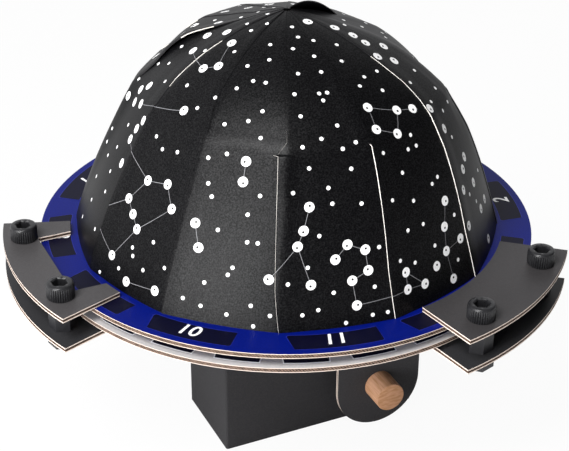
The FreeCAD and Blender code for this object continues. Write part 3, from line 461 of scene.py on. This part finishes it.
def arc_of(start, finish, bow):
    """Centre and radius of the arc from start to finish that stands bow off its chord: the radius is a
    quarter of the chord squared plus the bow squared, over twice the bow."""
    start, finish = np.array(start), np.array(finish)
    chord = finish - start
    length = math.hypot(*chord)
    radius = (length ** 2 / 4 + bow ** 2) / (2 * bow)
    side = np.array([-chord[1], chord[0]]) / length
    return (start + finish) / 2 + side * (radius - bow), radius


LOWER_ARC, UPPER_ARC = arc_of(FOOT, SLIT, LOWER_BOW), arc_of(SLIT, TOP, UPPER_BOW)


def card_reach(angle):
    """How far the card is from the ring's middle along a ray, over the middle line of a gore: where the
    ray leaves the lower arc's circle, or past the slit the upper one's, the two eased together."""
    ray = np.stack([np.cos(angle), np.sin(angle)], -1)
    reaches = []
    for centre, radius in (LOWER_ARC, UPPER_ARC):
        along = ray @ centre
        reaches.append(along + np.sqrt(np.maximum(along ** 2 - (centre @ centre - radius ** 2), 0)))
    past_slit = ease(np.degrees(angle) - math.degrees(math.atan2(SLIT[1], SLIT[0])), -SLIT_SOFT, SLIT_SOFT)
    return reaches[0] * (1 - past_slit) + reaches[1] * past_slit


def gore_middle(gore):
    return FIRST_GORE + GORE_PITCH * gore


def seam_beside(gore, side):
    """What the seam on a side of a gore looks like."""
    azimuth = (gore_middle(gore) + side * HALF_GORE + 180) % 360 - 180
    return SEAMS.get(round(azimuth), PLAIN_SEAM)


def left_on_top(seam, up):
    """0 where the right-hand gore lies on top, 1 where the left-hand one does, past the slit."""
    return np.zeros_like(up) if seam.get("straight") else ease(up, *seam.get("slit", SLIT_PLACE))


def gore_edges(gore, up):
    """The gore's left and right edges in degrees from its middle: the seam's visible edge where it lies
    on top, and a hidden lap beyond that where it lies below."""
    left, right = seam_beside(gore, -1), seam_beside(gore, 1)
    left_edge = -HALF_GORE + between(up, left["edge"]) - HIDDEN_LAP * left_on_top(left, up)
    right_edge = HALF_GORE + between(up, right["edge"]) + HIDDEN_LAP * (1 - left_on_top(right, up))
    return left_edge, right_edge


def gore_lift(gore, across, up):
    """How far the card stands off the plain dome: it climbs with an eased step before it meets the
    neighbour's hidden lap, gapes by a bell curve just below the slit and peels by another above it."""
    left, right = seam_beside(gore, -1), seam_beside(gore, 1)
    left_edge, right_edge = between(up, left["edge"]) - HALF_GORE, between(up, right["edge"]) + HALF_GORE
    wide = np.minimum(LAP_EASE / np.maximum(np.cos(np.radians(up)), 0.1), LAP_EASE_MOST)
    on_left = ease((left_edge + HIDDEN_LAP - across) / wide, -1, 0) * (1 - left_on_top(left, up))
    on_right = ease((across - right_edge + HIDDEN_LAP) / wide, -1, 0) * left_on_top(right, up)
    gape = left["gape"] * MM * np.exp(-((up - SLIT_PLACE[0] + GAPE_UNDER_SLIT) / GAPE_SPREAD) ** 2)
    opened = ease(left_edge + GAPE_ACROSS - across, 0, GAPE_ACROSS) * (1 - left_on_top(left, up))
    peel = right.get("peel", 0) * MM * np.exp(-((up - PEEL_UP) / PEEL_SPREAD) ** 2)
    peeled = ease(across - right_edge + PEEL_ACROSS, 0, PEEL_ACROSS) * left_on_top(right, up)
    return LAP_RISE * (on_left + on_right) + gape * opened + peel * peeled


def fullness(azimuth, up):
    """How much fuller the card behind is than its two arcs: each side's millimetres by its share."""
    round_back = (azimuth - BACK + 180) % 360 - 180
    right = between(round_back, BACK_RIGHT) * between(up, RIGHT_FULLNESS)
    left = between(round_back, BACK_LEFT) * between(up, LEFT_FULLNESS)
    return (right + left) * MM


def gore_surface(gore, across, up, stand_off=0.0):
    """Points of a gore's outer face, by the direction of a ray from the ring's middle: across degrees
    from the gore's middle and up degrees over the ring. The card is straight between its seams, so the
    ray's angle in the middle plane gives its reach, with a bulge that falls off as one less the square
    of the share of the way to the seam. Past a seam the card follows its neighbour's face. The front
    leans to one side, most at mid height, and the lifted gore's tip rises in a hump."""
    across, up = np.broadcast_arrays(np.asarray(across, float), np.asarray(up, float))
    folded = np.radians(np.minimum(np.abs(across), GORE_PITCH - np.abs(across)))
    climb = np.radians(up)
    angle = np.arctan2(np.sin(climb), np.cos(climb) * np.cos(folded))
    plain = card_reach(angle)
    bulge = between(plain * np.sin(angle), zip((0, SLIT[1], TOP[1]), BULGES))
    to_seam = np.tan(folded) / math.tan(math.radians(HALF_GORE))
    azimuth = gore_middle(gore) + across
    away = plain + bulge * (1 - to_seam ** 2) + fullness(azimuth, up)
    away = away + gore_lift(gore, across, up) + stand_off
    radius = away * np.cos(angle) / np.cos(folded)
    height = away * np.sin(angle)
    leaning = np.clip(height / TOP[1], 0, 1) ** LEAN_POWER
    if gore == LIFTED_GORE:
        share = np.clip(radius / LIFTED_REACH, 0, 1)
        height = height + LIFTED_RISE * 4 * share * (1 - share) * ease(-across, -HALF_GORE, HALF_GORE)
    in_front = ease(np.abs((azimuth - BACK + 180) % 360 - 180), *FRONT_FROM)
    shift = LEAN * 4 * leaning * (1 - leaning) * in_front
    turn = np.radians(azimuth)
    x, y = radius * np.cos(turn) + shift * LEAN_WAY[0], radius * np.sin(turn) + shift * LEAN_WAY[1]
    return np.stack([x, y, RING_TOP + height], -1)


def degree_sizes(gore, across, up):
    """How long a degree across and a degree up are on the gore at a place, by stepping a little."""
    here, beside, above = gore_surface(gore, [across, across + 0.05, across], [up, up, up + 0.05])
    return np.linalg.norm(beside - here) / 0.05, np.linalg.norm(above - here) / 0.05


def gore_rows():
    """Degrees up of each row."""
    return np.concatenate([np.linspace(*band) for band in ROW_BANDS])


def make_gore(gore, card, inside, pale_edge, edge_in_painted_shade):
    """A printed gore: its outer and inner faces on a grid, and the cut edges between them, which slope
    so that as much of them shows from outside as the seam's pale line is wide. Elsewhere the cut is
    painted dark as shade, where too little of it shows to read as a pale line."""
    up = gore_rows()[:, None]
    columns = GORE_COLUMNS
    share = np.linspace(0, 1, columns)[None, :]
    left, right = gore_edges(gore, up)
    radius = np.linalg.norm(gore_surface(gore, 0, up)[..., :2], axis=-1)
    fade = 1 - ease(up, *PALE_FADES)
    left_pale, right_pale = (between(up, seam_beside(gore, side)["pale"]) for side in (-1, 1))
    outer_left = left + np.degrees(left_pale * MM / radius) * fade
    outer_right = right - np.degrees(right_pale * MM / radius) * fade
    outer = gore_surface(gore, outer_left + (outer_right - outer_left) * share, up + 0 * share)
    inner = gore_surface(gore, left + (right - left) * share, up + 0 * share, -CARD)
    inner[0, :, 2] = RING_TOP
    points = np.concatenate([outer.reshape(-1, 3), inner.reshape(-1, 3)])
    rows, half = len(up), outer.shape[0] * outer.shape[1]
    over = grid_faces(rows, columns)
    under = grid_faces(rows, columns, half)[:, ::-1]
    row, column = np.arange(rows - 1), np.arange(columns - 1)
    here, above = row * columns, (row + 1) * columns
    side_left = np.stack([here, above, half + above, half + here], -1)
    side_right = (side_left + columns - 1)[:, ::-1]
    foot = np.stack([column, half + column, half + column + 1, column + 1], -1)
    top = (foot + (rows - 1) * columns)[:, ::-1]
    faces = np.concatenate([over, under, side_left, side_right, foot, top])
    cut_parts = [np.where(pale[:-1, 0] >= PALE_FROM, 2, 3) for pale in (left_pale, right_pale)]
    parts = [np.full(len(over), 0), np.full(len(under), 1), *cut_parts, np.full(len(foot) * 2, 3)]
    name = f"dome_gore_{gore + 1:02d}"
    materials = [card, inside, pale_edge, edge_in_painted_shade]
    piece = make_piece(f"{name}_card", points, faces, "dome", materials,
                       np.concatenate(parts))
    piece.data.set_sharp_from_angle(angle=math.radians(35))
    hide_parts(name)


def disc_on_gore(gore, across, up, radius, rise, sides):
    """A round ink patch that follows the gore: its middle and a rim of points a radius away."""
    turns = np.linspace(0, 2 * math.pi, sides, endpoint=False)
    wide, tall = degree_sizes(gore, across, up)
    rim_across = across + radius * np.cos(turns) / wide
    rim_up = up + radius * np.sin(turns) / tall
    points = gore_surface(gore, np.append(rim_across, across), np.append(rim_up, up), rise)
    return points, [(side, (side + 1) % sides, sides) for side in range(sides)]


def line_on_gore(gore, start, finish, insets, rise):
    """A thin ink line between two places, LINE_WIDTH wide, in short lengths that follow the bend. insets
    are the lengths left out at its ends, under the stars."""
    start, finish = np.array(start, float), np.array(finish, float)
    scale = np.array(degree_sizes(gore, *((start + finish) / 2)))
    run = (finish - start) * scale
    length = np.linalg.norm(run)
    side = np.array([-run[1], run[0]]) / length * LINE_WIDTH / 2 / scale
    steps = max(2, int(length / LINE_STEP) + 1)
    shares = np.linspace(insets[0] / length, 1 - insets[1] / length, steps)[:, None]
    middle = start + (finish - start) * shares
    spots = np.stack([middle - side, middle + side], 1)
    points = gore_surface(gore, spots[..., 0], spots[..., 1], rise)
    return points.reshape(-1, 3), grid_faces(steps, 2)[:, ::-1].tolist()


def stars_of(gore):
    """The bright stars of a gore. The gores behind repeat those in front, mirrored."""
    return STARS.get(gore) or [(-across, up) for across, up in STARS[(gore + 3) % 6 + 5]]


def dots_of(gore):
    return DOTS.get(gore) or [(-across, up) for across, up in DOTS[(gore + 3) % 6 + 5]]


def seam_crossing(gore, side, start, finish):
    """Where a line from a place on a gore to one past its seam meets the seam's visible edge."""
    edge = side * HALF_GORE + between((start[1] + finish[1]) / 2, seam_beside(gore, side)["edge"])
    share = (edge - start[0]) / (finish[0] - start[0])
    return edge, start[1] + (finish[1] - start[1]) * share


def lines_of(gore):
    """Every line drawn on a gore: start, finish and the lengths left out at its ends."""
    stars = stars_of(gore)
    lines = [(stars[begin], stars[end], (LINE_INSET, LINE_INSET)) for begin, end in LINES.get(gore, [])]
    lines += [(stars[begin], place, (LINE_INSET, 0)) for begin, place in LOOSE_LINES.get(gore, [])]
    for left_gore, left_star, right_gore, right_star in CROSSINGS:
        here, there = stars_of(left_gore)[left_star], stars_of(right_gore)[right_star]
        if gore == left_gore:
            far = (there[0] + GORE_PITCH, there[1])
            lines.append((here, seam_crossing(gore, 1, here, far), (LINE_INSET, 0)))
        if gore == right_gore:
            far = (here[0] - GORE_PITCH, here[1])
            lines.append((there, seam_crossing(gore, -1, there, far), (LINE_INSET, 0)))
    return lines


def make_stars(gore, white, hole, line):
    """The printed stars of a gore: dots, bright discs each with a pinhole, and the lines between. The
    pinhole is no hole but a dark disc, painted as the shade inside it.
    """
    chooser = np.random.default_rng(PINHOLE_SEED + gore)
    patches = [(line_on_gore(gore, *ends, INK_RISE), 2) for ends in lines_of(gore)]
    for place in dots_of(gore):
        patches.append((disc_on_gore(gore, *place, DOT_RADIUS, INK_RISE, DOT_SIDES), 0))
    for across, up in stars_of(gore):
        patches.append((disc_on_gore(gore, across, up, STAR_RADIUS, STAR_RISE, STAR_SIDES), 0))
        turn = chooser.uniform(0, 2 * math.pi)
        wide, tall = degree_sizes(gore, across, up)
        hole_across = across + PINHOLE_OFFSET * math.cos(turn) / wide
        hole_up = up + PINHOLE_OFFSET * math.sin(turn) / tall
        hole_shape = disc_on_gore(gore, hole_across, hole_up, PINHOLE_RADIUS, PINHOLE_RISE, PINHOLE_SIDES)
        patches.append((hole_shape, 1))
    points, faces, parts, start = [], [], [], 0
    for (patch_points, patch_faces), part in patches:
        points.append(patch_points)
        faces.extend([[start + corner for corner in face] for face in patch_faces])
        parts.extend([part] * len(patch_faces))
        start += len(patch_points)
    make_piece(f"stars_on_gore_{gore + 1:02d}", np.concatenate(points), faces, "dome",
               [white, hole, line], parts)


# Dials

def band_outline(inner, outer, half, corner, steps=10):
    """The outline of a rounded patch on a ring, centred on X: two arcs joined by round corners. The
    ends lie half degrees either side."""
    middle = (inner + outer) / 2
    points = []
    for radius, way in ((outer, 1), (inner, -1)):
        reach = math.degrees((middle * math.radians(half) - corner) / radius)
        arc = np.radians(np.linspace(-reach, reach, steps)[::way])
        points += [(radius * math.cos(turn), radius * math.sin(turn)) for turn in arc]
        pivot_radius = radius - corner * way
        pivot = np.array([pivot_radius * math.cos(arc[-1]), pivot_radius * math.sin(arc[-1])])
        bend_from = 0 if way > 0 else 180
        for turn in np.radians(np.linspace(bend_from, bend_from + 90, 6)[1:]):
            direction = turn + arc[-1]
            points.append(tuple(pivot + corner * np.array([math.cos(direction), math.sin(direction)])))
    return np.array(points)


def turned(points, degrees):
    """Flat points turned about the axis."""
    turn = math.radians(degrees)
    rotation = np.array([[math.cos(turn), math.sin(turn)], [-math.sin(turn), math.cos(turn)]])
    return np.asarray(points) @ rotation


def flat_points(points, height):
    return np.column_stack([points, np.full(len(points), height)])


def month_number(month):
    return (FIRST_MONTH_NUMBER + month - 1) % MONTHS + 1


def label_turn(month):
    return FIRST_MONTH_TURN + 360 / MONTHS * month + LABEL_SHIFTS.get(month_number(month), 0)


def make_month_labels(navy, pale):
    """The dark labels of the month ring, each with a thin pale outline."""
    line = LABEL_LINE
    inner_half = LABEL_HALF - math.degrees(line / LABEL_INNER)
    outline = band_outline(LABEL_INNER, LABEL_OUTER, LABEL_HALF, LABEL_CORNER)
    inner = band_outline(LABEL_INNER + line, LABEL_OUTER - line, inner_half, LABEL_CORNER - line)
    count = len(outline)
    points, faces, parts = [], [], []
    for month in range(MONTHS):
        start = month * count * 3
        for shape in (outline, inner, inner):
            points.append(flat_points(turned(shape, label_turn(month)), RING_TOP + INK_RISE))
        for corner in range(count):
            after = (corner + 1) % count
            faces.append([start + corner, start + after, start + count + after, start + count + corner])
            parts.append(1)
        faces.append([start + 2 * count + corner for corner in range(count)])
        parts.append(0)
    make_piece("month_labels", np.concatenate(points), faces, "dome", [navy, pale], parts,
               smooth=False)


def text_shape(words, tall):
    """A flat text's points and faces, centred, with figures tall high."""
    curve = bpy.data.curves.new("figures", "FONT")
    curve.body, curve.size = words, 1.0
    curve.align_x, curve.align_y = "CENTER", "CENTER"
    curve.shear, curve.offset = NUMBER_SLANT, NUMBER_WEIGHT
    holder = bpy.data.objects.new("figures", curve)
    mesh = bpy.data.meshes.new_from_object(holder)
    points = np.array([vertex.co[:2] for vertex in mesh.vertices])
    faces = [list(face.vertices) for face in mesh.polygons]
    bpy.data.objects.remove(holder)
    bpy.data.curves.remove(curve)
    bpy.data.meshes.remove(mesh)
    middle = (points.min(0) + points.max(0)) / 2
    return (points - middle) * tall / (points.max(0) - points.min(0))[1], faces


def make_numbers(white):
    """The month numbers, bent round the ring with their feet outwards."""
    points, faces, start = [], [], 0
    for month in range(MONTHS):
        shape, shape_faces = text_shape(str(month_number(month)), NUMBER_TALL)
        turn = math.radians(label_turn(month)) + shape[:, 0] / NUMBER_MIDDLE
        radius = NUMBER_MIDDLE - shape[:, 1]
        flat = np.column_stack([radius * np.cos(turn), radius * np.sin(turn)])
        points.append(flat_points(flat, RING_TOP + INK_RISE * 2))
        faces.extend([[start + corner for corner in face] for face in shape_faces])
        start += len(flat)
    make_piece("month_numbers", np.concatenate(points), faces, "dome", [white], smooth=False)


def make_hour_labels(navy, white):
    """The tapered labels of the hour ring, each on a wider white one."""
    points, faces, parts, start = [], [], [], 0
    arc = np.linspace(-1, 1, 7)
    for hour in range(HOURS):
        turn = FIRST_HOUR_TURN + 360 / HOURS * hour
        for grow, rise, part in ((HOUR_MARGIN, 1, 1), (0.0, 2, 0)):
            outer, inner = HOUR_OUTER + grow, HOUR_INNER - grow
            outer_half = HOUR_OUTER_HALF + math.degrees(grow / outer)
            inner_half = HOUR_INNER_HALF + math.degrees(grow / outer)
            out_turns, in_turns = np.radians(arc * outer_half), np.radians(arc[::-1] * inner_half)
            out_side = outer * np.column_stack([np.cos(out_turns), np.sin(out_turns)])
            in_side = inner * np.column_stack([np.cos(in_turns), np.sin(in_turns)])
            flat = turned(np.concatenate([out_side, in_side]), turn)
            points.append(flat_points(flat, HOUR_TOP + INK_RISE * rise))
            faces.append([start + corner for corner in range(len(flat))])
            parts.append(part)
            start += len(flat)
    make_piece("hour_labels", np.concatenate(points), faces, "hours", [navy, white], parts,
               smooth=False)


# Screws and dowel

def bolt_places():
    for clamp in CLAMP_TURNS:
        for side in (-1, 1):
            turn = math.radians(clamp + side * BOLT_ANGLE)
            yield BOLT_CIRCLE * math.cos(turn), BOLT_CIRCLE * math.sin(turn)


def screw_profile(turns):
    """Rings of a socket-head cap screw, from the tip up: each is a radius for every turn and a height.
    The head's side swells and sinks with each rib of its knurl, the shank's thread is a wave that climbs
    a pitch a turn, and the socket's wall is the distance to a hexagon's side."""
    ribs = 0.5 + 0.5 * np.cos(turns * KNURL_RIBS)
    knurl = SCREW_HEAD - KNURL_DEEP * (1 - ribs ** 0.6)
    plain = np.ones_like(turns)
    flats = (turns + math.pi / 6) % (math.pi / 3) - math.pi / 6
    hexagon = SOCKET_FLAT / np.cos(flats)
    top = SCREW_HEAD_TALL
    tip = SCREW_TIP - CLAMP_TOP
    rings = [(plain * POLE, tip), (plain * (SCREW_SHANK - 0.6 * MM), tip)]
    for height in np.arange(tip + THREAD_FROM, tip + THREAD_TO, THREAD_PITCH / 8):
        wave = 0.5 + 0.5 * np.cos(turns - 2 * math.pi * height / THREAD_PITCH)
        rings.append((SCREW_SHANK - THREAD_DEEP * wave, height))
    rings += [
        (plain * SCREW_SHANK, tip + THREAD_TO + 0.4 * MM),
        (plain * SCREW_SHANK, 0.0),
        (plain * (SCREW_HEAD - 0.5 * MM), 0.0),
        (plain * (SCREW_HEAD - KNURL_DEEP), 0.15 * MM),
        (knurl, 0.4 * MM),
        (knurl, top - 1.1 * MM),
        (plain * (SCREW_HEAD - 0.22 * MM), top - 0.85 * MM),
        (plain * (SCREW_HEAD - 0.25 * MM), top - 0.55 * MM),
        (plain * (SCREW_HEAD - 0.45 * MM), top - 0.2 * MM),
        (plain * (SCREW_HEAD - 0.8 * MM), top),
        (hexagon + 0.45 * MM, top),
        (hexagon, top - 0.35 * MM),
        (hexagon, top - SOCKET_DEEP),
        (plain * POLE, top - SOCKET_DEEP - 0.8 * MM),
    ]
    return rings


def make_screws(material):
    """The six cap screws, one surface each, turned rings stacked along the axis."""
    turns = np.linspace(0, 2 * math.pi, SCREW_SIDES, endpoint=False)
    rings = screw_profile(turns)
    radius = np.stack([ring for ring, _ in rings])
    height = np.array([height for _, height in rings])[:, None] + 0 * turns
    shape = np.stack([radius * np.cos(turns), radius * np.sin(turns), height], -1)
    count = shape.shape[0] * shape.shape[1]
    points, faces = [], []
    for number, (x, y) in enumerate(bolt_places()):
        points.append(shape.reshape(-1, 3) + [x, y, CLAMP_TOP])
        faces.append(grid_faces(len(rings), len(turns), number * count, closed=True))
    piece = make_piece("cap_screws", np.concatenate(points), np.concatenate(faces), "head",
                       [material])
    piece.data.set_sharp_from_angle(angle=math.radians(38))
    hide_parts("clamp_screws")


def make_dowel(material):
    """The rod: a circle carried along Y, its ends eased over a small radius."""
    low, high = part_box("pivot_dowel")
    middle, radius = (low + high) / 2, (high.z - low.z) / 2
    turns = np.linspace(0, 2 * math.pi, DOWEL_SIDES, endpoint=False)
    soft = DOWEL_EDGE
    ends = [(POLE, 0), (radius - soft, 0), (radius - soft * 0.3, soft * 0.3), (radius, soft)]
    rings = [(ring, low.y + inset) for ring, inset in ends]
    rings += [(radius, low.y + (high.y - low.y) * share) for share in (0.25, 0.5, 0.75)]
    rings += [(ring, high.y - inset) for ring, inset in reversed(ends)]
    shape = [np.stack([middle.x + ring * np.cos(turns), np.full_like(turns, along),
                       middle.z - ring * np.sin(turns)], -1) for ring, along in rings]
    faces = grid_faces(len(rings), len(turns), closed=True)
    piece = make_piece("tilt_dowel", np.stack(shape), faces, "stand", [material])
    piece.data.set_sharp_from_angle(angle=math.radians(50))
    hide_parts("pivot_dowel")


# Stage

def make_camera():
    camera = bpy.data.objects.new("camera", bpy.data.cameras.new("camera"))
    camera.data.lens, camera.data.sensor_width = LENS, 36
    forward = CAMERA_FORWARD.normalized()
    right = forward.cross(Vector((0, 0, 1))).normalized()
    up = right.cross(forward)
    turn = Matrix((right, up, -forward)).transposed().to_4x4()
    roll = Matrix.Rotation(math.radians(CAMERA_ROLL), 4, "Z")
    camera.matrix_world = Matrix.Translation(CAMERA_PLACE) @ turn @ roll
    bpy.context.scene.collection.objects.link(camera)
    bpy.context.scene.camera = camera


def soft_light(name, azimuth, elevation, distance, size, power):
    """A square soft box that faces the dome."""
    lamp = bpy.data.lights.new(name, "AREA")
    lamp.size, lamp.energy = size, power
    holder = bpy.data.objects.new(name, lamp)
    turn, rise = math.radians(azimuth), math.radians(elevation)
    way = Vector((math.cos(turn) * math.cos(rise), math.sin(turn) * math.cos(rise), math.sin(rise)))
    holder.location = Vector((0, 0, 0.1)) + way * distance
    holder.rotation_mode = "QUATERNION"
    holder.rotation_quaternion = way.to_track_quat("Z", "Y")
    bpy.context.scene.collection.objects.link(holder)


def make_world():
    """White behind the object for the camera. Otherwise a studio: a pale sweep behind and to the left
    that dims to the front right and towards the ceiling."""
    world = bpy.data.worlds.new("studio")
    world.use_nodes = True
    tree = world.node_tree
    tree.nodes.clear()
    way = add(tree, "ShaderNodeTexCoord").outputs["Object"]
    side = add(tree, "ShaderNodeVectorMath", {0: way, 1: (0.6, -0.8, 0.0)}, operation="DOT_PRODUCT")
    high = add(tree, "ShaderNodeSeparateXYZ", {0: way}).outputs["Z"]
    to_side = ranged(tree, side.outputs["Value"], -0.1, 0.5, 1.0, 0.12)
    to_top = ranged(tree, high, 0.5, 0.85, 1.0, 0.35)
    level = maths(tree, "MULTIPLY", to_side, to_top)
    light = add(tree, "ShaderNodeBackground", {"Color": srgb("#f6f6f8"), "Strength": level})
    seen = add(tree, "ShaderNodeBackground", {"Color": srgb("#ffffff"), "Strength": 1.0})
    rays = add(tree, "ShaderNodeLightPath")
    bare = maths(tree, "MAXIMUM", rays.outputs["Is Camera Ray"], rays.outputs["Is Transmission Ray"])
    mixed = add(tree, "ShaderNodeMixShader", {0: bare, 1: light, 2: seen})
    add(tree, "ShaderNodeOutputWorld", {"Surface": mixed})
    bpy.context.scene.world = world


def make_floor():
    """A wide pale floor that the camera sees almost white, with the object's soft shadow on it."""
    material, tree, place, _ = start_material("pale_floor")
    grain = noise(tree, place, 20 * MM, 2.0)
    colour = blend(tree, grain, "#f2f2f2", "#f7f7f7")
    paper = add(tree, "ShaderNodeBsdfPrincipled", {"Base Color": colour, "Roughness": 0.9})
    glow = add(tree, "ShaderNodeEmission", {"Color": srgb("#ffffff"), "Strength": 1.0})
    rays = add(tree, "ShaderNodeLightPath")
    share = maths(tree, "MULTIPLY", rays.outputs["Is Camera Ray"], FLOOR_GLOW)
    mixed = add(tree, "ShaderNodeMixShader", {0: share, 1: paper, 2: glow})
    add(tree, "ShaderNodeOutputMaterial", {"Surface": mixed})
    rings = np.linspace(1 * MM, FLOOR_REACH, FLOOR_RINGS)[:, None]
    turns = np.linspace(0, 2 * math.pi, FLOOR_SIDES, endpoint=False)
    points = np.stack([rings * np.cos(turns), rings * np.sin(turns), 0 * rings * turns], -1)
    mesh = bpy.data.meshes.new("floor")
    faces = grid_faces(FLOOR_RINGS, FLOOR_SIDES, closed=True)
    mesh.from_pydata(points.reshape(-1, 3).tolist(), [], faces.tolist())
    mesh.materials.append(material)
    floor = bpy.data.objects.new("floor", mesh)
    bpy.context.scene.collection.objects.link(floor)


# Materials of the CAD nodes

def dress(names, material):
    for name in names:
        piece = nodes[name]
        piece.data.materials.clear()
        piece.data.materials.append(material)


def board_for(name, node, top, top_shade, **looks):
    low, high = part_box(node)
    dress([node], lined_board(name, top, top_shade, low.z, high.z, **looks))


make_camera()
make_world()
make_floor()
soft_light("left_box", azimuth=-149, elevation=9, distance=0.9, size=0.4, power=6.5)
soft_light("top_box", azimuth=-145, elevation=50, distance=0.9, size=0.4, power=8.6)

gore_card = laminated_print("gore_laminated_print", "#050506", "#0c0c0e", 0.4, 0.16)
gore_inside = laminated_print("gore_card_inside", "#101012", "#1a1a1c", 0.8, 0.1)
gore_edge = cut_card("gore_card_edge", "#f6f3ee", "#cfcac2")
# Cut edges where too little shows are painted dark as shade; the card's own cut edge is pale.
gore_cut_in_painted_shade = cut_card("gore_card_cut_painted_shade", "#2a292b", "#1c1b1d")
star_white = printed_ink("star_white_ink", "#ffffff", "#efefed", 0.5)
# Pinholes: dark discs painted as the shade inside a hole; the card is not pierced.
pinhole_painted_shade = printed_ink("pinhole_painted_shade", "#060606", "#101010", 0.8)
line_grey = printed_ink("star_line_ink", "#858588", "#6f6f72", 0.6)
for gore_number in range(GORE_COUNT):
    make_gore(gore_number, gore_card, gore_inside, gore_edge, gore_cut_in_painted_shade)
    make_stars(gore_number, star_white, pinhole_painted_shade, line_grey)

label_navy = printed_ink("label_navy_ink", "#04041c", "#070826", 0.5, 0.12)
label_line = printed_ink("label_outline_ink", "#222c94", "#1a2486", 0.5, 0.2)
number_white = printed_ink("number_white_ink", "#ffffff", "#f2f2f2", 0.45)
make_month_labels(label_navy, label_line)
make_numbers(number_white)
make_hour_labels(label_navy, number_white)

ring_rim = dict(core="#7a6558", liner=RING_LINER)
board_for("month_board", "month_ring", "#001068", "#021474", rough=0.45, gloss=0.12, **ring_rim)
board_for("hour_board", "hour_ring", "#c4c0bd", "#b6b3b0", **ring_rim)
board_for("spacer_board", "spacer_ring", "#8d7a66", "#6b5a4a")
board_for("base_board", "base_plate", "#2b2b2d", "#353537")
# The three clamp plates are one grey board; its tone steps lighter from the front plate to the rear and
# the pointer plate as painted light and shade.
for clamp, tone, shade in (("front", "#383637", "#403e3f"), ("rear", "#3f3d3e", "#474546"),
                           ("pointer", "#434142", "#4b494a")):
    board_for(f"clamp_board_painted_light_{clamp}", f"clamp_plate_{clamp}", tone, shade)
board_for("glide_card", "glide_pads", "#8d7a66", "#6b5a4a")

black_card = printed_ink("stand_black_card", "#242325", "#2e2d2f", 0.75)
dress(["stand_shell", "stand_floor"], black_card)
for side in ("front", "rear"):
    low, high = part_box(f"ear_{side}")
    face = (low.y, low.y + EAR_CARD) if side == "front" else (high.y - EAR_CARD, high.y)
    ear_card = lined_board(f"ear_card_{side}", "#2b2a2c", "#363537", *face, axis="Y", rough=0.75)
    dress([f"ear_{side}"], ear_card)

make_screws(filled_nylon("screw_black_nylon", "#1a1a1c", "#262628", 0.32))
dress(["clamp_spacers", "clamp_nuts"], filled_nylon("spacer_black_nylon", "#1b1b1e", "#242427", 0.4))
make_dowel(bare_beech("dowel_bare_beech", "#c4977a", "#a37650", "#b98a6a"))
lamp_nylon = filled_nylon("lamp_black_nylon", "#202022", "#2a2a2c", 0.55)
dress(["lamp_housing", "lamp_cover", "switch_body"], lamp_nylon)
dress(["apex_patch"], gore_inside)
dress(["circuit_board"], printed_ink("circuit_green_resist", "#14532d", "#1b6b3b", 0.35))
dress(["coin_cell"], rolled_metal("cell_steel", "#b8b8ba", 0.3))
dress(["cell_contact", "cell_spring"], rolled_metal("contact_brass", "#c9a24a", 0.3))
dress(["switch_slider"], filled_nylon("slider_grey_nylon", "#6a6a6c", "#7a7a7c", 0.5))
dress(["led"], printed_ink("lamp_clear_lens", "#dfe6ea", "#eef2f4", 0.15))

bpy.context.scene.view_settings.view_transform = "Standard"
